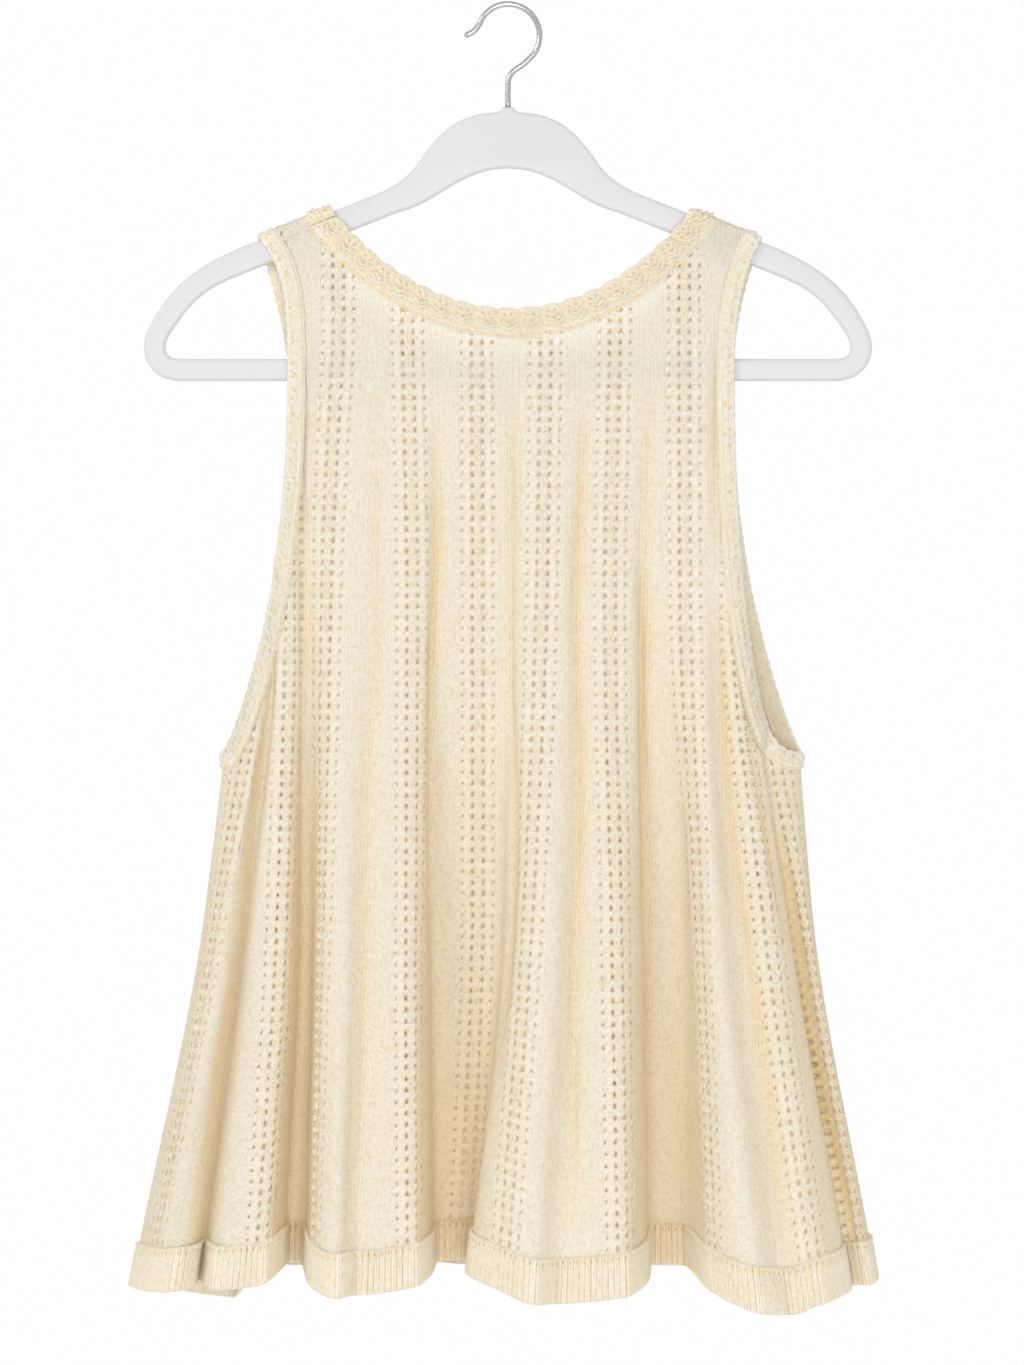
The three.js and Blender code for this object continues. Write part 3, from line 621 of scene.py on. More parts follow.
# The two knitted panels.
panel = {
    "firstRow": 24.2, "rowPitch": 1.65, "rowsInEyelet": 4,
    "top": {"back": 650, "front": 700},  # length above the hem where the rows end
    "shift": {"back": 0, "front": 2},  # row of the eyelets' repeat that each starts with
    "plainCells": 9, "seamCells": 3,
    "tracePoints": 1401,  # each row's length is measured in this many points
    "laceShare": 0.43,  # most of the way to the next column that lace may take
    "seamRoom": 1.8,  # a seam lies a little over half way to a next column
    "cutInside": 5,  # how far the cloth reaches under a band
    "rim": 1.1, "rimDraw": 0.34, "rimShade": 1.5, "pitShade": 1.4,
    "unevenAcross": 0.16, "unevenUp": 0.22, "unevenLift": 0.16, "seed": 21,
    "creaseShade": 0.18, "creaseCore": 3.0,  # shade for each millimetre of depth, and its width
    "creaseFade": 0.7, "press": 0.95,  # share of a crease's depth that is pressed in
    "wander": 1.3, "wanderOver": 34.0, "wanderShift": 5,  # a crease wanders by this much over this height
    # painted shade where folds shut the cloth in, and on the flanks of the folds: on the side toward the key
    # lamp, then on the side away from it
    "shutInShade": 0.72, "flankFrom": 0.35, "keySideFlankShade": 0.1, "awayFlankShade": 0.45,
    "overlap": 1.6, "overlapLift": 0.7,  # the front laps over the back at the shoulder seam
    "overlapFrom": 3,
}
laceMarks = np.array([0, 1.2, 2.5, 3.95, 5.6, 7.2, 8.8, 9.8, 11.4])  # across half a lace column
strongEyelet, weakEyelet = 2, 6  # each lies between this mark and the next
# Height of the relief at each mark (columns), on each of the four rows of an eyelet repeat.
relief = np.array([
    [0.6, 0.8, 0.6, 0.6, 0.1, 0.1, 0.4, 0.3, 0.0],
    [0.1, 0.2, 0.2, 0.3, 0.4, 0.5, 0.2, 0.1, 0.0],
    [-0.4, -0.3, -0.1, 0.1, 0.1, 0.1, 0.1, 0.2, 0.0],
    [0.1, 0.3, 0.2, 0.3, 0.4, 0.5, 0.2, 0.1, 0.0],
])
# How deep the cloth is shaded at the same places.
reliefShade = np.array([
    [0.0, 0.0, 0.0, 0.0, 0.1, 0.1, 0.0, 0.0, 0.0],
    [0.0, 0.1, 0.2, 0.2, 0.0, 0.0, 0.1, 0.1, 0.0],
    [0.1, 0.2, 0.4, 0.35, 0.0, 0.0, 0.2, 0.1, 0.0],
    [0.1, 0.1, 0.3, 0.3, 0.0, 0.0, 0.2, 0.1, 0.0],
])
# How far an eyelet's two sides move out at its foot (row 1), its waist (row 2) and its head (row 3).
foot = {strongEyelet: 0.25, strongEyelet + 1: -0.3, weakEyelet: 0.2, weakEyelet + 1: -0.2}
waist = {strongEyelet: -0.1, strongEyelet + 1: 0.1, weakEyelet: 0.05, weakEyelet + 1: -0.05}
head = {strongEyelet: 0.6, strongEyelet + 1: -0.6, weakEyelet: 0.4, weakEyelet + 1: -0.4}
# How much shorter it is at each end.
shorter = {strongEyelet: 0.15, strongEyelet + 1: 0.15, weakEyelet: 0.8, weakEyelet + 1: 0.8}

# Creases pressed into the plain stripes. A place is counted in lace columns, depth and width are
# in millimetres, and fade is the height over which a crease dies out at each end.
creaseColumns = ["topZ", "lowZ", "topPlace", "lowPlace", "depth", "width", "fade"]
creases = {"back": [
    [-225, -640, 4.50, 4.73, 3.6, 2.6, 60],
    [-240, -570, 3.44, 3.27, 3.6, 2.4, 70],
    [-235, -720, 5.54, 5.60, 4.2, 2.6, 70],
    [-330, -660, 6.42, 6.33, 4.4, 2.2, 60],
    [-350, -740, 7.58, 7.64, 4.4, 4.0, 60],
    [-390, -560, 8.00, 8.22, 3.0, 3.0, 50],
    [-480, -745, 8.40, 8.70, 3.4, 2.6, 50],
    [-380, -745, 2.55, 2.50, 2.8, 4.4, 60],
    [-210, -420, 1.45, 1.50, 2.2, 2.6, 50],
    [-230, -430, 2.62, 2.60, 2.0, 3.0, 60],
    [-400, -745, 0.44, 0.45, 3.0, 4.2, 60],
    [-470, -745, 6.86, 6.80, 1.4, 2.0, 50],
    [-215, -400, 6.52, 6.50, 2.0, 2.6, 50],
    [-200, -330, 7.50, 7.52, 1.8, 2.6, 40],
], "front": [
    [-240, -620, 14.50, 14.30, 3.6, 2.6, 60],
    [-250, -560, 15.52, 15.60, 3.4, 2.4, 70],
    [-240, -700, 13.46, 13.40, 4.0, 2.6, 70],
    [-340, -740, 12.42, 12.36, 4.2, 3.8, 60],
    [-300, -580, 11.50, 11.60, 3.0, 2.6, 60],
    [-360, -745, 16.55, 16.50, 3.8, 4.2, 60],
    [-390, -745, 17.60, 17.70, 3.2, 3.6, 50],
    [-420, -745, 10.50, 10.45, 3.0, 3.6, 60],
]}


# Every column of points: its lace column, its mark there or None, its plain stripe, and its share
# of the way across the stripe.
def columnPlan(laces):
    seamCells, plainCells, last = panel["seamCells"], panel["plainCells"], laces - 1
    plan = [(0, None, 0, k / seamCells) for k in range(seamCells)]
    for lace in range(laces):
        plan += [(lace, mark, 0, 0) for mark in range(1 - len(laceMarks), len(laceMarks))]
        if lace < last:
            plan += [(lace, None, lace + 1, k / plainCells) for k in range(1, plainCells)]
    return plan + [(last, None, laces, (k + 1) / seamCells) for k in range(seamCells)]


# How far a row is pressed in at each of its points, and how deep in shade the bottom of the crease is.
def creaseDepth(face, run, placeRun, z):
    depth, line = np.zeros_like(run), np.zeros_like(run)
    for row in creases[face]:
        crease = dict(zip(creaseColumns, row))
        t = np.clip((crease["topZ"] - z) / (crease["topZ"] - crease["lowZ"]), 0, 1)
        at = placeRun(crease["topPlace"] + (crease["lowPlace"] - crease["topPlace"]) * t)
        at += panel["wander"] * math.sin(z / panel["wanderOver"] + panel["wanderShift"] * crease["topPlace"])
        fadeTop = np.clip((crease["topZ"] - z) / crease["fade"], 0, 1)
        fadeLow = np.clip((z - crease["lowZ"]) / crease["fade"], 0, 1)
        strength = crease["depth"] * (fadeTop * fadeLow) ** panel["creaseFade"]
        trough = np.exp(1 - np.sqrt(1 + ((run - at) / crease["width"]) ** 2))
        depth += panel["press"] * strength * trough
        line += panel["creaseShade"] * strength * hump(run - at, panel["creaseCore"])
    return depth, line


def panelSurface(face):
    side, shift, (first, last) = sideOf[face], panel["shift"][face], clothSpan[face]
    rows = int((panel["top"][face] - panel["firstRow"]) / panel["rowPitch"])
    lengths = panel["firstRow"] + np.arange(rows) * panel["rowPitch"]
    phase = (np.arange(rows) + shift) % panel["rowsInEyelet"]
    fine = np.linspace(first, last, panel["tracePoints"])
    laces = np.arange(math.ceil(first), math.floor(last) + 1)
    plan = columnPlan(len(laces))
    isMark = np.array([row[1] is not None for row in plan])
    lace, mark, stripe = np.array([(row[0], row[1] or 0, row[2]) for row in plan]).T
    share, step = np.array([row[3] for row in plan]), abs(mark)
    moves = np.array([[move.get(m, 0) for m in step] for move in ({}, foot, waist, head)])
    place, fromLace = np.zeros((2, rows, len(plan)))
    lift, shade = relief[phase][:, step] * isMark, reliefShade[phase][:, step] * isMark
    rise = ((phase == 1) * 1.0 - (phase == 3))[:, None] * np.array([shorter.get(m, 0) for m in step])
    chance = np.random.default_rng(panel["seed"] + shift)
    for r in range(rows):
        run = runLength(drapedPoints(fine, heightOf(fine, lengths[r]), side))
        centre = np.interp(laces, fine, run)
        ends = np.array([centre[0], run[-1] - centre[-1]]) * panel["seamRoom"]
        room = np.concatenate([ends[:1], np.diff(centre), ends[1:]]) * panel["laceShare"]
        shrink = np.minimum(1, room / laceMarks[-1])
        start = np.array([0, *(centre + laceMarks[-1] * shrink[1:])])
        end = np.array([*(centre - laceMarks[-1] * shrink[:-1]), run[-1]])
        size = shrink[lace + (mark >= 0)]
        onMark = centre[lace] + np.sign(mark) * (laceMarks[step] + moves[phase[r]]) * size
        onStripe = start[stripe] + (end[stripe] - start[stripe]) * share
        target = np.where(isMark, onMark, onStripe)
        fromLace[r] = target - centre[lace]
        target[1:-1] += chance.normal(0, panel["unevenAcross"], len(plan) - 2) * isMark[1:-1]
        rise[r] += chance.normal(0, panel["unevenUp"], len(plan)) * isMark
        lift[r] += chance.normal(0, panel["unevenLift"], len(plan)) * isMark
        place[r] = np.interp(target, run, fine)
        middleZ = garment["hemLevel"] + lengths[r]
        pressed, line = creaseDepth(face, target, lambda at: np.interp(at, fine, run), middleZ)
        lift[r] -= pressed
        shade[r] += line
    heights = heightOf(place, lengths[:, None] + rise)
    return plan, lengths, phase, place, heights, lift, fromLace, shade


def edgeAt(edge, z):  # where an outline stands across, at height z
    order = np.argsort(edge[:, 1])
    return np.interp(z, edge[order, 1], edge[order, 0])


# Cells outside the cut edges go. The edge lies under the bands.
def cutMask(points, side):
    inside = np.ones(points.shape[:-1], bool)
    x, y, z = np.moveaxis(points, -1, 0)
    onBack = y < 0 if side > 0 else inside.copy()
    for face, onFace in (("back", onBack), ("front", ~onBack)):
        for outward, name in ((-1, "Left"), (1, "Right")):
            edge = movedIn(armEdge(face + name), panel["cutInside"], -outward)
            beyond = (outward * (x - edgeAt(edge, z)) > 0) & (z > edge[:, 1].min())
            inside &= ~(beyond & onFace)
            edge = movedIn(neckEdge(face, outward), panel["cutInside"], outward)
            inNeck = (outward * (x - garment["centre"]) >= 0) & (outward * (edgeAt(edge, z) - x) > 0)
            inside &= ~(inNeck & (z > edge[:, 1].min()) & onFace)
    return inside


def knitPanel(face, node):
    plan, lengths, phase, place, heights, lift, fromLace, shade = panelSurface(face)
    side, overBend = sideOf[face], math.pi * garment["rest"]
    flat = drapedPoints(place, heights, side)
    normal = surfaceNormals(flat)
    if side > 0:
        over = heights - bendAxis(flat[..., 0]) - overBend
        lift += np.clip(over / panel["overlapFrom"] + 1, 0, 1) * panel["overlapLift"]
    grid = flat + normal * lift[..., None]
    # Painted shade on the flanks of the folds, heavier on those turned away from the key lamp on the left.
    flankShade = np.clip(np.abs(normal[..., 0]) - panel["flankFrom"], 0, 1)
    flankShade *= np.where(normal[..., 0] > 0, panel["awayFlankShade"], panel["keySideFlankShade"])
    # Painted shade: where folds shut the cloth in, on the flanks, in the lace relief and along the creases.
    paintedShade = panel["shutInShade"] * shutIn(grid, side) + flankShade + shade
    index = pointGrid(*place.shape)
    middle = (flat[:-1, :-1] + flat[1:, 1:]) / 2
    height = (heights[:-1, :-1] + heights[1:, 1:]) / 2
    axis, top = bendAxis(middle[..., 0]), seamHeight(middle[..., 0])
    keep = cutMask(middle, side)
    bare = np.zeros_like(keep)  # eyelets in front of the other neckline stay closed
    if side < 0:
        keep &= height < top
        limit = edgeAt(neckEdge("front", 1), middle[..., 2])
        inNeck = np.abs(middle[..., 0] - garment["centre"]) < limit
        bare = inNeck & (middle[..., 2] > neck["bottomFront"] - 1)
    else:
        keep &= height < axis + overBend + (axis - top) + panel["overlap"]
    rimQuads, rimPoints, rimUv, rimPaintedShade, spots = [], [], [], [], []
    marks = [row[1] for row in plan]
    for c, (mark, following) in enumerate(zip(marks, marks[1:])):
        if None in (mark, following) or min(abs(mark), abs(following)) not in (strongEyelet, weakEyelet):
            continue
        for r in range(len(lengths) - 2):
            if phase[r] != 1 or not keep[max(0, r - 1):r + 3, c].all():
                continue
            keep[r:r + 2, c] = False
            rim = [r, r, r + 1, r + 2, r + 2, r + 1], [c, c + 1, c + 1, c + 1, c, c]
            inner = grid[rim] - normal[rim] * panel["rim"]
            inner -= (inner.mean(axis=0) - inner) * panel["rimDraw"]
            outer, base, closed = index[rim], index.size + 6 * len(rimPoints), bare[r + 1, c]
            rimPoints.append(inner)
            for k in range(6):
                n = (k + 1) % 6
                rimQuads.append([outer[k], outer[n], base + n, base + k])
            if closed:
                rimQuads += [[base, base + 1, base + 2, base + 5], [base + 5, base + 2, base + 3, base + 4]]
            rimUv += [(fromLace[r + 1, c], lengths[r + 1])] * (32 if closed else 24)
            # the eyelets' rims are painted in deep shade, the closed pits a little less
            rimPaintedShade += [panel["pitShade" if closed else "rimShade"]] * 6
            if mark == strongEyelet and keep[max(0, r - 3), c - 2] and r > 1:
                spots.append((grid[r - 1, c - 2], normal[r - 1, c - 2], grid[r, c - 2] - grid[r - 2, c - 2]))
    # every cell's map is measured from one lace column, so no stitch is torn across a stripe
    uv = gridMap(fromLace, lengths[:, None])
    for c in range(len(plan) - 1):
        if plan[c][0] != plan[c + 1][0]:  # last plain cell before the next column
            right = fromLace[:, c] + (fromLace[:, c] - fromLace[:, c - 1])
            uv[:, c, 1, 0], uv[:, c, 2, 0] = right[:-1], right[1:]
    piece = makeObject(
        face + "_panel_cloth", np.concatenate([grid.reshape(-1, 3), *rimPoints]),
        np.concatenate([gridCells(index)[keep], rimQuads]), clothKnit,
        np.concatenate([uv[keep].reshape(-1, 2), rimUv]), node,
        np.concatenate([paintedShade.ravel(), rimPaintedShade]))
    return piece, np.array(spots)


backCloth, backLoops = knitPanel("back", "back_panel")
frontCloth, frontLoops = knitPanel("front", "front_panel")
print("panels knitted")


bands = {
    "edgeShare": 0.3,  # share of a band that its wavy edge draws out
    "innerShade": 0.3, "pinholeReach": 3,  # pinholes fade out at three times their size
}


def bandPiece(name, free, sewn, profile, heights, shade, under, closed, node, edgeOut):
    line = np.concatenate([free[-2:-1], free, free[1:2]]) if closed else free
    along = np.gradient(line, axis=0)
    across = sewn - free
    normal = unit(np.cross(across, along[1:-1] if closed else along))[:, None]
    run, width = runLength(free)[:, None], np.linalg.norm(across, axis=1)[:, None]
    share = profile - (edgeOut[:, None] / width) * np.clip(1 - profile / bands["edgeShare"], 0, 1) ** 2
    flat = free[:, None] + across[:, None] * share[..., None]
    outer, inner = flat + normal * heights[..., None], flat - normal * under
    shell = np.concatenate([outer, inner[:, ::-1]], axis=1)
    index = pointGrid(*shell.shape[:2])
    cross = np.concatenate([share * width, share[:, ::-1] * width + width], axis=1)
    if closed:
        index[-1], cross[-1] = index[0], cross[0]
    quads = gridCells(np.concatenate([index, index[:, :1]], axis=1)).reshape(-1, 4)
    uv = gridMap(run, np.concatenate([cross, cross[:, -1:] + 1.0], axis=1)).reshape(-1, 2)
    if not closed:
        half = len(profile)
        for ids, turn in ((index[0], 1), (index[-1], -1)):
            caps = gridCells(np.stack([ids[:half], ids[::-1][:half]], axis=1))[:, 0, ::turn]
            quads = np.concatenate([quads, caps])
            uv = np.concatenate([uv, np.zeros((len(caps) * 4, 2))])
    # painted shade: the band's own on its outer face, and an even one on its inside
    paintedShade = np.concatenate([shade, np.full_like(shade, bands["innerShade"])], axis=1)
    return makeObject(name, shell, quads, bandKnit, uv, node, paintedShade)


def overArm(points):  # 0 on the flat cloth, 1 at the top of the bend
    return np.clip((points[:, 2] - bendAxis(points[:, 0])) / garment["rest"], 0, 1)


# Pinholes pressed into a band: how strongly each of its points lies in one.
def pinholes(run, cross, places, size):
    answer = np.zeros((len(run), len(cross)))
    for along, over in places:
        near = np.abs(run - along) < bands["pinholeReach"] * size
        distance = ((run[near, None] - along) ** 2 + (cross - over) ** 2) / size ** 2
        answer[near] = np.maximum(answer[near], np.exp(-distance))
    return answer


armBand = {
    "step": 0.95, "halfLength": 290, "cells": 14, "rise": 0.3, "proud": 2.3, "under": 0.9,
    "bow": (0.9, 0.07, 0.5),  # share of half a turn, where it starts, and its power
    "wave": 0.8, "wavePitch": 6.0, "slant": 0.5, "slantPitch": 3.0, "slantTurn": 1.1,
    "ridge": 0.5, "ridgeAt": 0.8, "ridgeWidth": 0.06,  # a ridge along the seam, and the groove beside it
    "groove": 0.5, "grooveAt": 0.66, "grooveWidth": 0.07,
    "pinhole": 0.8, "pinholeDepth": 1.2, "pinholePitch": 8.5, "pinholeRows": [2.6, 4.4, 5.4], "seed": 5,
    "pinholeShift": 2, "edgeHole": 2.9, "edgePitch": 5.1, "edgeShift": 1.5, "edgeSway": 0.4,
    "bulk": 0.3,
    "pinholeShade": 1.5, "slantShade": 0.25, "grooveShade": 0.3, "grooveShadeWidth": 0.06,
    "seamShade": 0.8, "seamFrom": 0.8, "seamWidth": 0.2,
}


def armholeHalf(face, sideName, k):
    outward = -1 if sideName == "Left" else 1
    edge = armEdge(face + sideName)
    if k:
        edge = movedIn(edge, armhole["band"], -outward)
    below, over = laidOnCloth(edge, sideOf[face])
    below[0] = clothPoints(seamPlace(outward), armhole["underarmZ"] - k * armhole["band"])
    return np.concatenate([evenly(below, int(armBand["halfLength"] / armBand["step"])), over[1:]])


def bowed(profile, turn, start, power):  # a band's section, high in its middle
    return np.clip(np.sin(np.clip(profile * turn + start, 0, 1) * math.pi), 0, 1) ** power


def seamRamp(profile, band):  # grows to 1 toward the seam
    return np.clip((profile - band["seamFrom"]) / band["seamWidth"], 0, 1)


def armholeBand(sideName, node):
    band = armBand
    names = ["back", "front"] if sideName == "Left" else ["front", "back"]
    lines = []
    for k in (0, 1):
        up, down = [armholeHalf(face, sideName, k) for face in names]
        lines.append(np.array([*up, *down[::-1][1:]]))
    free, sewn = lines
    run = runLength(free)
    profile = np.linspace(0, 1, band["cells"] + 1)
    chance = np.random.default_rng(band["seed"])
    bow = bowed(profile, *band["bow"])
    ridge = band["ridge"] * hump(profile - band["ridgeAt"], band["ridgeWidth"])
    ridge = ridge - band["groove"] * hump(profile - band["grooveAt"], band["grooveWidth"])
    heights = band["rise"] + bow * band["proud"] + ridge
    slant = np.sin((run[:, None] / band["slantPitch"] + profile * band["slantTurn"]) * fullTurn)
    heights = heights + band["slant"] * slant * bow
    around = lambda reach: chance.uniform(-reach, reach)
    dots = [(at + around(band["pinholeShift"]), chance.choice(band["pinholeRows"]))
            for at in np.arange(4, run[-1] - 4, band["pinholePitch"])]
    dots += [(at + around(band["edgeShift"]), band["edgeHole"] + around(band["edgeSway"]))
             for at in np.arange(7, run[-1] - 4, band["edgePitch"])]
    deep = pinholes(run, profile * armhole["band"], dots, band["pinhole"])
    heights -= band["pinholeDepth"] * deep
    heights += (band["bulk"] * overArm((free + sewn) / 2))[:, None] * bow
    shade = band["pinholeShade"] * deep + band["slantShade"] * valley(slant) ** 2
    inGroove = hump(profile - band["grooveAt"], band["grooveShadeWidth"])
    shade += band["seamShade"] * seamRamp(profile, band) + band["grooveShade"] * inGroove
    edgeOut = band["wave"] * np.abs(np.sin(run / band["wavePitch"] * math.pi))
    name = sideName.lower() + "_armhole_binding"
    return bandPiece(name, free, sewn, profile, heights, shade, band["under"], True, node, edgeOut), sewn


neckBand = {
    "step": 0.8, "cells": 32, "proud": 1.3, "scallop": 1.9, "pitch": 12.6, "under": 0.5,
    "bow": (0.9, 0.06, 0.45), "crest": 0.6,
    "edge": 1.5, "cord": 1.0, "cordPitch": 2.9, "smile": 1.1, "smilePower": 1.5,
    "ribs": 6, "rib": 0.55, "ribLean": 0.25, "knob": 0.35, "knobs": 6,
    "pinhole": 0.75, "pinholeDepth": 1.3,
    "pinholeSpots": [(-1.9, 3.0), (1.9, 3.0), (0, 6.2), (-3.9, 6.6)],  # in each scallop: along, across
    "bulk": 1.4,  # extra height where the band bends over the arm
    # strength of the scallops, cords and ribs at shares across the band, from its free edge
    "scallopOver": [(0, 1), (0.18, 1), (0.3, 0.35), (0.45, 0.9), (0.62, 0.9), (0.78, 0.3), (1, 0)],
    "cordsOver": [(0, 0.2), (0.2, 0.4), (0.32, 1), (0.72, 1), (0.8, 0)],
    "ribsOver": [(0, 0.4), (0.05, 0.7), (0.2, 0.5), (0.3, 0), (0.7, 0), (0.8, 0.9), (1, 0.7)],
    "pinholeShade": 1.5, "cordShade": 1.4, "cordLine": 6, "ribShade": 0.7, "ribLine": 4,
    "dipShade": 0.8, "knobShade": 0.12, "seamShade": 0.9, "seamFrom": 0.84, "seamWidth": 0.16,
}


def neckLine(face, k):
    halves = []
    for toward in (-1, 1):
        edge = neckEdge(face, toward)
        below, over = laidOnCloth(movedIn(edge, neck["band"], toward) if k else edge, sideOf[face])
        halves.append(np.concatenate([below, over[1:]]))
    return np.concatenate([halves[0][1:][::-1], halves[1]])


def neckPath(face, k):
    back = neckLine("back", k)
    low = back[:, 2] <= seamHeight(back[:, 0])
    if face == "back":
        return back[low]
    left, right = back[(back[:, 0] < 0) & ~low][::-1], back[(back[:, 0] > 0) & ~low][::-1]
    return np.concatenate([left[:-1], neckLine("front", k), right[1:]])[::-1]


def neckPiece(face, node):
    band = neckBand
    free, sewn = neckPath(face, 0), neckPath(face, 1)
    length = runLength(free)[-1]
    groups, count = round(length / band["pitch"]), int(length / band["step"])
    free, sewn = evenly(free, count), evenly(sewn, count)
    run = np.linspace(0, groups, count + 1)[:, None]
    profile = np.linspace(0, 1, band["cells"] + 1)
    cross = profile * neck["band"]
    crest = np.abs(np.sin(run * math.pi)) ** band["crest"]
    bow = bowed(profile, *band["bow"])
    scallop, inRows, atEdges = [
        np.interp(profile, *zip(*band[key])) for key in ("scallopOver", "cordsOver", "ribsOver")]
    heights = band["proud"] * bow + band["scallop"] * crest * (bow * scallop)
    smile = band["smile"] * (1 - np.abs((run % 1) - 0.5) * 2) ** band["smilePower"]
    cords = np.cos((cross / band["cordPitch"] - smile) * fullTurn)
    heights += band["cord"] * cords * inRows * crest
    knobs = np.cos((run + cross / band["cordPitch"] / band["knobs"] / 2) * fullTurn * band["knobs"])
    heights += band["knob"] * knobs * inRows
    heights += (band["bulk"] * overArm((free + sewn) / 2))[:, None] * bow
    ribs = np.cos((run + profile * band["ribLean"]) * fullTurn * band["ribs"])
    heights += band["rib"] * ribs * atEdges
    spot = (np.arange(groups) + 0.5) * (length / groups)
    dots = [(at + shift, over) for at in spot for shift, over in band["pinholeSpots"]]
    deep = pinholes(run[:, 0] * length / groups, cross, dots, band["pinhole"])
    heights -= band["pinholeDepth"] * deep
    shade = band["pinholeShade"] * deep
    shade += band["cordShade"] * valley(cords) ** band["cordLine"] * inRows * crest
    shade += band["ribShade"] * valley(ribs) ** band["ribLine"] * atEdges
    shade += band["dipShade"] * (1 - crest) * (1 - 0.5 * profile) + band["knobShade"] * valley(knobs) * inRows
    shade += band["seamShade"] * seamRamp(profile, band)
    edgeOut = (band["edge"] * crest)[:, 0]
    name = face + "_neck_binding"
    return bandPiece(name, free, sewn, profile, heights, shade, band["under"], False, node, edgeOut), sewn


leftBinding, leftSewn = armholeBand("Left", "left_armhole_band")
rightBinding, rightSewn = armholeBand("Right", "right_armhole_band")
backBinding, backSewn = neckPiece("back", "back_neck_band")
frontBinding, frontSewn = neckPiece("front", "front_neck_band")
print("bands sewn")

hem = {
    "height": 24.0, "rib": 3.4, "samples": 8, "proud": 1.0, "ridge": 1.2, "minor": 0.5, "under": 0.7,
    "grooveWidth": 0.13, "minorWidth": 0.11,  # of a rib, for the deep and the shallow grooves
    "bead": 0.25, "beadPitch": 2.9,
    "eyelets": 4.1, "eyeletWidth": 0.17, "eyeletDepth": 1.2, "uneven": 0.35, "seed": 11,
    "grooveShade": 0.8, "minorShade": 0.25, "eyeletShade": 1.4, "beadShade": 0.4, "innerShade": 0.35,
    "innerRows": 30,  # the map of the inside starts this much further up
    "tracePoints": 3001,
}
# Rows up the hem: their lengths above its edge, how full the ribs are and how deep the eyelets are there.
hemLengths = np.array([
    0, 0.4, 1.4, 2.8, 4.2, 5.7, 7.2, 8.6, 10.1, 11.6, 13.1, 14.6, 16.1, 17.6, 19.1, 20.6,
    22.0, 23.2, 24.3, 25.2,
])
hemFullness = np.array([0.3, 0.75, *[1.0] * 12, 0.95, 0.95, 0.9, 1.25, 1.1, 0.2])
hemEyelets = np.array([*[0.0] * 15, 0.2, 1.0, 0.2, 0.0, 0.0])


def hemPiece(face, node):
    fine = np.linspace(*clothSpan[face], hem["tracePoints"])
    run = runLength(clothPoints(fine, heightOf(fine, hem["height"] / 2)))
    ribs = round(run[-1] / hem["rib"])
    count = ribs * hem["samples"]
    around = np.linspace(0, run[-1], count + 1)
    places = np.interp(around, run, fine)
    lengths, full, eyelet = hemLengths[:, None], hemFullness[:, None], hemEyelets[:, None]
    flat = clothPoints(places, heightOf(places, lengths))
    normal = surfaceNormals(flat)
    turn = np.arange(count + 1) / hem["samples"]
    minor = hump(turn - np.floor(turn) - 0.5, hem["minorWidth"])
    chance = np.random.default_rng(hem["seed"])
    uneven = chance.uniform(1 - hem["uneven"], 1 + hem["uneven"], ribs + 1)
    nearest = np.clip(np.round(turn).astype(int), 0, ribs)
    deep = hump(turn - np.round(turn), hem["grooveWidth"]) * uneven[nearest]
    dip = hem["ridge"] * deep + hem["minor"] * minor
    beads = hem["bead"] * np.sin((lengths / hem["beadPitch"] + np.floor(turn * 2) * 0.5) * fullTurn)
    holes = hump(((turn * hem["rib"] / hem["eyelets"]) % 1) - 0.5, hem["eyeletWidth"]) * eyelet
    height = (hem["proud"] + hem["ridge"] * 0.75 - dip + beads) * full - hem["eyeletDepth"] * holes
    outer = flat + normal * height[..., None]
    inner = flat - normal * (hem["under"] + hem["ridge"] * deep * 0.5)[:, None]
    # Painted shade where the folds shut the hem in, in its grooves and eyelets, lighter on its raised beads,
    # and an even one inside.
    shade = panel["shutInShade"] * shutIn(flat, sideOf[face]) + hem["grooveShade"] * deep
    shade = shade + hem["minorShade"] * minor + hem["eyeletShade"] * holes - hem["beadShade"] * beads
    shell = np.concatenate([outer, inner[::-1]])
    paintedShade = np.concatenate([shade, np.full_like(shade, hem["innerShade"])])
    index = pointGrid(*shell.shape[:2])
    quads = gridCells(np.concatenate([index, index[:1]]))
    up = np.concatenate([lengths, lengths[::-1] + hem["innerRows"], lengths[:1] + hem["innerRows"]])
    uv = gridMap(around, up) * [yarn["ribWale"] * 2 * ribs / run[-1], 1]  # two wales to a rib
    return makeObject(face + "_hem_ribbing", shell, quads, hemKnit, uv, node, paintedShade)


backHem = hemPiece("back", "back_hem_rib")
frontHem = hemPiece("front", "front_hem_rib")
print("hem ribbed")


# Loops across the lace and stitches along the seams: width, height and thickness of the yarn.
loop = {"Width": 3.6, "Height": 3.0, "Yarn": 0.42, "Uneven": 0.12}
stitch = {"Width": 2.0, "Height": 0.0, "Yarn": 0.34, "Uneven": 0.15}
seam = {"pitch": 2.4, "lift": 1.0}
tack = {"x": 15.0, "z": -200.4, "width": 9.6, "stitches": 9, "lift": 0.9, "yarn": 0.4, "lean": 0.3}
yarnInputs = {"Geometry": "Geometry", "Width": "Float", "Height": "Float", "Yarn": "Float",
              "Uneven": "Float", "Seed": "Int", "Material": "Material"}


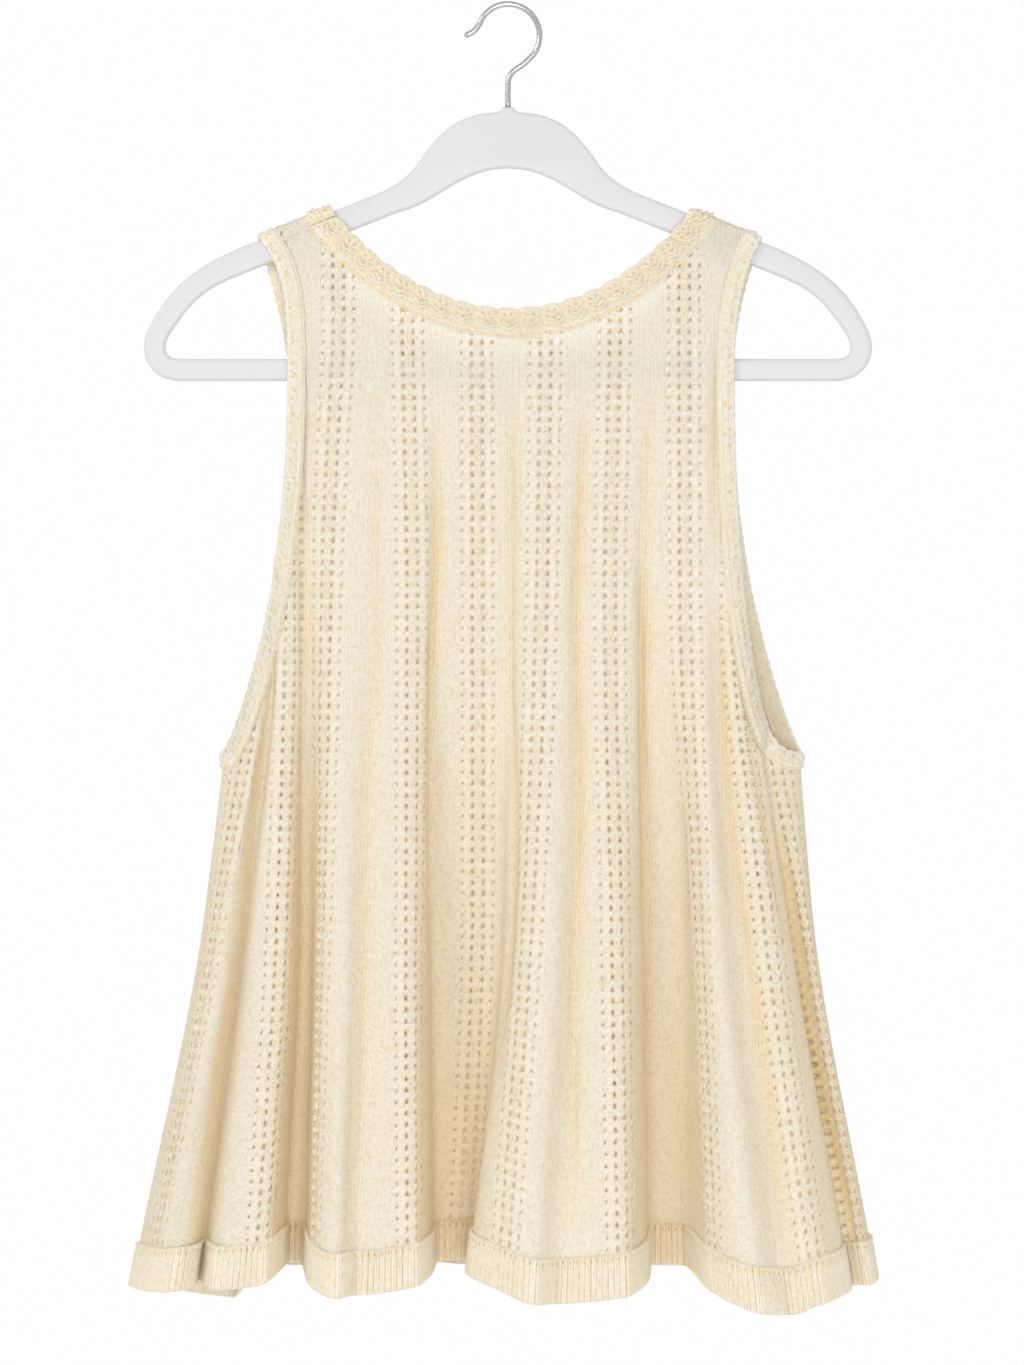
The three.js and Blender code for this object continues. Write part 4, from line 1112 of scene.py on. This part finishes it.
# One small piece of yarn on each point, turned to the cloth. A closed one is a loop, and an open one
# a straight stitch. The points' own attributes say which way the cloth faces and runs.
def yarnTree(name, closed):
    tree = bpy.data.node_groups.new(name, "GeometryNodeTree")
    for key, kind in yarnInputs.items():
        tree.interface.new_socket(key, in_out="INPUT", socket_type="NodeSocket" + kind)
    tree.interface.new_socket("Geometry", in_out="OUTPUT", socket_type="NodeSocketGeometry")
    n = Nodes(tree)
    given = n.add("NodeGroupInput").outputs
    wide, high = [n.times(given[key], 0.5) for key in ("Width", "Height")]
    profile = {"Resolution": 4 if closed else 5, "Radius": given["Yarn"]}
    profile = n.add("GeometryNodeCurvePrimitiveCircle", profile).outputs["Curve"]
    if closed:
        circle = n.add("GeometryNodeCurvePrimitiveCircle", {"Resolution": 8, "Radius": 1})
        size = n.add("ShaderNodeCombineXYZ", {0: wide, 1: high, 2: 1}).outputs[0]
        path = n.add("GeometryNodeTransform", {"Geometry": circle.outputs["Curve"], "Scale": size})
    else:
        start, end = [n.add("ShaderNodeCombineXYZ", {0: x}).outputs[0]
                      for x in (n.times(wide, -1), wide)]
        path = n.add("GeometryNodeCurvePrimitiveLine", {"Start": start, "End": end})
    piece = n.add("GeometryNodeCurveToMesh", {
        "Curve": path.outputs[0], "Profile Curve": profile, "Fill Caps": True})
    turned = {}
    for axis, pivot, attribute in (("Z", "AUTO", "facing"), ("X", "Z", "along")):
        named = n.add("GeometryNodeInputNamedAttribute", {"Name": attribute}, data_type="FLOAT_VECTOR")
        inputs = {"Vector": named.outputs[0], **turned}
        align = n.add("FunctionNodeAlignRotationToVector", inputs, axis=axis, pivot_axis=pivot)
        turned = {"Rotation": align.outputs[0]}
    low, high = [n.math(change, 1, given["Uneven"]) for change in ("SUBTRACT", "ADD")]
    chance = {"Min": low, "Max": high, "Seed": given["Seed"]}
    chance = n.add("FunctionNodeRandomValue", chance, data_type="FLOAT")
    scale = next(out for out in chance.outputs if out.type == "VALUE" and out.enabled)
    placed = n.add("GeometryNodeInstanceOnPoints", {
        "Points": given["Geometry"], "Instance": piece.outputs["Mesh"], "Scale": scale, **turned})
    smooth = n.add("GeometryNodeSetShadeSmooth", {"Geometry": placed.outputs["Instances"]})
    real = n.add("GeometryNodeRealizeInstances", {"Geometry": smooth.outputs[0]})
    dressed = n.add("GeometryNodeSetMaterial", {"Geometry": real.outputs[0], "Material": given["Material"]})
    n.add("NodeGroupOutput", {"Geometry": dressed.outputs[0]})
    return tree


def yarnPieces(name, points, facing, along, sizes, closed, slot, seed):
    mesh = bpy.data.meshes.new(name + "Points")
    mesh.vertices.add(len(points))
    mesh.vertices.foreach_set("co", (np.asarray(points) * mm).ravel())
    for key, values in (("facing", facing), ("along", along)):
        layer = mesh.attributes.new(key, "FLOAT_VECTOR", "POINT")
        layer.data.foreach_set("vector", np.asarray(values, np.float32).ravel())
    mesh.update()
    holder = addObject(name + "Points", mesh)
    modifier = holder.modifiers.new("yarn", "NODES")
    modifier.node_group = yarnTree(name + "Tree", closed)
    settings = {key: size * (1 if key == "Uneven" else mm) for key, size in sizes.items()}
    settings.update({"Seed": seed, "Material": thread})
    for item in modifier.node_group.interface.items_tree:
        if item.in_out == "INPUT" and item.name in settings:
            modifier[item.identifier] = settings[item.name]
    evaluated = holder.evaluated_get(bpy.context.evaluated_depsgraph_get())
    result = bpy.data.meshes.new_from_object(evaluated)
    result.name = name
    holder.modifiers.remove(modifier)
    bpy.data.objects.remove(holder)
    piece = addObject(name, result)
    finishPiece(piece)
    print(name, len(points), "pieces of yarn,", len(result.polygons), "faces")
    return piece


def laceLoops(name, spots, seed):  # a spot is a point, and how the cloth faces and runs
    point, facing, up = spots[:, 0], spots[:, 1], spots[:, 2]
    return yarnPieces(name, point + facing * 0.1, facing, np.cross(up, facing), loop, True, "knit", seed)


def seamStitches(sewn):
    point = pointsAt(sewn, np.arange(seam["pitch"] / 2, runLength(sewn)[-1], seam["pitch"]))
    side = np.where(point[:, 1:2] < 0, -1.0, 1.0)
    high = overArm(point)[:, None]
    facing = np.concatenate([np.zeros_like(side), side * np.sqrt(1 - high ** 2), high], axis=1)
    return point + facing * seam["lift"], facing, unit(np.gradient(point, axis=0))


def barTack():  # a short bar of close stitches below the neckband
    x = tack["x"] + np.linspace(-0.5, 0.5, tack["stitches"]) * tack["width"]
    z = np.full_like(x, tack["z"])
    point = clothPoints(placeOf(-1, x, z), z) - [0, tack["lift"], 0]
    facing = np.broadcast_to([0.0, -1.0, 0.0], point.shape)
    along = np.broadcast_to([0.95, 0.0, tack["lean"]], point.shape)
    tackSizes = {**stitch, "Yarn": tack["yarn"]}
    return yarnPieces("bar_tack", point, facing, along, tackSizes, False, "rib", seed=9)


backRings = laceLoops("back_lace_loops", backLoops, seed=3)
frontRings = laceLoops("front_lace_loops", frontLoops, seed=4)
seams = [seamStitches(line) for line in (leftSewn, rightSewn, backSewn, frontSewn)]
seamSpots = [np.concatenate(part) for part in zip(*seams)]
seamYarn = yarnPieces("seam_stitches", *seamSpots, stitch, False, "rib", seed=8)
tackYarn = barTack()
print("loops and stitches made")


# Right half of the hanger's outline and of its opening: the start, then the end of each line or the
# two handles and the end of each curve.
def hangerHalf():
    armStart = (hanger["armX"] + 4, hanger["armZ"] - 4 * hanger["armSlope"])
    return [
        [(0, -60)], [(3.2, -60.2)], [(3.7, -62.2), (5.7, -63.2), (9, -63.4)],
        [(32, -64.5), (43, -78), (52, -91)], [(60, -103), (68, -108), armStart],
        [(160, float(armTop(160)))], [(196, -159), (207, -176), (216, -194)],
        [(223, -209), (214, -224.4), (197, -224.4)],
    ]


def holeHalf():
    return [
        [(0, -96.8)], [(30, -97.5), (40, -117), (66, -123.3)], [(158, -159.8)],
        [(182, -169), (188, -175), (200, -192)], [(210, -206), (205, -211.2), (196, -211.2)],
    ]


def outlinePoints(half):
    points = [np.array(half[0][0], float)]
    for piece in half[1:]:
        p = np.array([points[-1], *piece])
        t = np.linspace(0, 1, 2 if len(piece) == 1 else hanger["curvePoints"])[:, None]
        left = 1 - t
        if len(piece) == 1:
            run = p[0] * left + p[1] * t
        else:
            run = p[0] * left ** 3 + 3 * p[1] * t * left ** 2 + 3 * p[2] * t ** 2 * left + p[3] * t ** 3
        points += list(run[1:])
    right = np.array(points)
    return np.concatenate([right, right[1:][::-1] * [-1, 1]])


def cleanMesh(mesh):  # doubles merged and faces turned outwards
    shape = bmesh.new()
    shape.from_mesh(mesh)
    bmesh.ops.remove_doubles(shape, verts=shape.verts, dist=0.01 * mm)
    bmesh.ops.recalc_face_normals(shape, faces=shape.faces)
    shape.to_mesh(mesh)
    shape.free()


def hangerPiece():
    curve = bpy.data.curves.new("hangerOutline", "CURVE")
    curve.dimensions = "2D"
    curve.fill_mode = "BOTH"
    for outline in (outlinePoints(hangerHalf()), outlinePoints(holeHalf())):
        spline = curve.splines.new("POLY")
        spline.points.add(len(outline) - 1)
        rows = np.pad(outline * mm, ((0, 0), (0, 2)))
        rows[:, 3] = 1
        spline.points.foreach_set("co", rows.ravel())
        spline.use_cyclic_u = True
    curve.extrude = (hanger["thick"] / 2 - hanger["rounded"]) * mm
    curve.bevel_depth = hanger["rounded"] * mm
    curve.offset = -hanger["rounded"] * mm
    curve.bevel_resolution = hanger["roundCells"]
    holder = addObject("hangerOutline", curve)
    mesh = bpy.data.meshes.new_from_object(holder)
    bpy.data.objects.remove(holder)
    bpy.data.curves.remove(curve)
    flat = np.zeros(len(mesh.vertices) * 3)
    mesh.vertices.foreach_get("co", flat)
    flat = flat.reshape(-1, 3)[:, [0, 2, 1]] * [1, -1, 1]  # stood upright, facing the front
    mesh.vertices.foreach_set("co", flat.ravel())
    mesh.name = "hanger_body_smooth"
    mesh.materials.clear()
    mesh.materials.append(plastic)
    cleanMesh(mesh)
    mesh.polygons.foreach_set("use_smooth", [True] * len(mesh.polygons))
    mesh.set_sharp_from_angle(angle=math.radians(hanger["sharpFrom"]))
    finishPiece(addObject("hanger_body_smooth", mesh), "hanger_body")


def hookPath():
    radius, wire = hanger["hookRadius"], hanger["wire"]
    angles = np.radians(np.linspace(118, -32, 15))
    bend = np.stack([radius * np.cos(angles), wire - radius + radius * np.sin(angles)], axis=-1)
    lip = np.array([[-24.4, -16.6], [-20.8, -14.7], [-17.4, -10.6], [-14.4, -5.2]])
    stem = np.array([[9.6, -34], [3.2, -38.6], [0.4, -43], [0, -48], [0, -59.9]])
    return np.concatenate([lip, bend, stem])


def smoothPath(points, steps):  # centripetal curve through the points
    padded = np.concatenate([[2 * points[0] - points[1]], points, [2 * points[-1] - points[-2]]])
    stages = [(0, 1), (1, 2), (2, 3)], [(0, 2), (1, 3)], [(1, 2)]
    answer = []
    for i in range(1, len(padded) - 2):
        near = padded[i - 1:i + 3]
        times = np.cumsum([0, *(np.linalg.norm(b - a) ** 0.5 for a, b in zip(near, near[1:]))])
        for t in np.linspace(times[1], times[2], steps, endpoint=False):
            level = near
            for spans in stages:
                spans = [(times[s], times[e]) for s, e in spans]
                level = [a * (e - t) / (e - s) + b * (t - s) / (e - s)
                         for a, b, (s, e) in zip(level, level[1:], spans)]
            answer.append(level[0])
    return np.array(answer + [points[-1]])


def hookPiece():
    path = smoothPath(hookPath(), hanger["hookSteps"])
    sides, radius, closedUp = hanger["hookSides"], hanger["wire"], 0.02
    along = unit(np.gradient(path, axis=0))
    square = np.stack([-along[:, 1], along[:, 0]], axis=-1)
    rings = []
    tip = radius + 0.15  # the rounded tip is a little fuller than the wire
    for angle in np.radians(np.linspace(90, 8, 9)):
        size = max(math.cos(angle) * tip, closedUp)
        rings.append((path[0] - along[0] * math.sin(angle) * tip, square[0], size))
    rings += [(p, s, radius) for p, s in zip(path, square)]
    rings.append((path[-1], square[-1], closedUp))
    turn = np.linspace(0, fullTurn, sides, endpoint=False)
    points = []
    for centre, side, size in rings:
        x, z = [centre[k] + side[k] * np.cos(turn) * size for k in (0, 1)]
        points.append(np.stack([x, np.sin(turn) * size, z], axis=-1))
    index = pointGrid(len(rings), sides)
    quads = gridCells(np.concatenate([index, index[:, :1]], axis=1))
    cleanMesh(makeObject("hook_wire", points, quads, chrome, None, "hanger_hook").data)


hangerPiece()
hookPiece()
print("hanger made")


studio = {
    "distance": 2000, "aimX": 2.4, "aimZ": -405.3, "sensor": 36,
    "frameHeight": 819,  # seen at the garment's mid plane
    "floorZ": -1900, "floorRadius": 4000, "floorSides": 64, "floorRough": 0.8,
    "floorDark": (0.86, 0.86, 0.86, 1), "floorPale": (0.88, 0.88, 0.88, 1),
    "backdrop": 0.995, "room": 0.72,  # brightness of the air behind the top, and before it
    "fadeFrom": -0.2, "fadeTo": 0.6,  # where the one turns into the other
    "bounces": 12, "clothBounces": 8,  # pale cloth passes light on many times
}
lamps = {  # place, size and watts, and what it shines on, in metres
    "keyLight": ((-1.8, -1.7, 1.0), 0.9, 16, (0, 0, -0.4)),
    "frontFill": ((0.2, -2.8, -0.7), 1.6, 27, (0, 0, -0.5)),
}


def softBox(name, place, size, watts, aim):
    light = bpy.data.lights.new(name, "AREA")
    light.shape = "DISK"
    light.size = size
    light.energy = watts
    lamp = addObject(name, light)
    lamp.location = place
    lamp.rotation_mode = "QUATERNION"
    lamp.rotation_quaternion = (Vector(aim) - Vector(place)).to_track_quat("-Z", "Y")


def studioSet():
    scene = bpy.context.scene
    scene.view_settings.view_transform = "Standard"
    scene.cycles.max_bounces = studio["bounces"]
    scene.cycles.diffuse_bounces = studio["clothBounces"]
    scene.world = bpy.data.worlds.new("studioAir")
    scene.world.use_nodes = True
    air = Nodes(scene.world.node_tree)
    toward = air.add("ShaderNodeSeparateXYZ", {0: air.add("ShaderNodeTexCoord").outputs["Generated"]})
    fade = [studio[key] for key in ("fadeFrom", "fadeTo", "room", "backdrop")]
    bright = air.range(toward.outputs[1], *fade)
    air.fill(air.tree.nodes["Background"], {0: (1.0, 1.0, 1.0, 1), 1: bright})
    for name, settings in lamps.items():
        softBox(name, *settings)
    turn = np.linspace(0, fullTurn, studio["floorSides"], endpoint=False)
    radius, floorZ = studio["floorRadius"] * mm, studio["floorZ"] * mm
    rim = [(math.cos(a) * radius, math.sin(a) * radius, floorZ) for a in turn]
    mesh = bpy.data.meshes.new("floor")
    mesh.from_pydata(rim, [], [list(range(len(rim)))])
    n = Finish("paleFloor")
    n.fill(n.shader, {
        "Base Color": n.mix(n.noise(3.0), studio["floorDark"], studio["floorPale"]),
        "Roughness": studio["floorRough"]})
    mesh.materials.append(n.material)
    floor = addObject("floor", mesh)
    camera = bpy.data.cameras.new("view")
    camera.sensor_width = studio["sensor"]
    camera.lens = camera.sensor_width * studio["distance"] / studio["frameHeight"]
    eye = addObject("view", camera)
    eye.location = (studio["aimX"] * mm, -studio["distance"] * mm, studio["aimZ"] * mm)
    eye.rotation_euler = (math.pi / 2, 0, 0)
    scene.camera = eye


studioSet()
print("studio set")
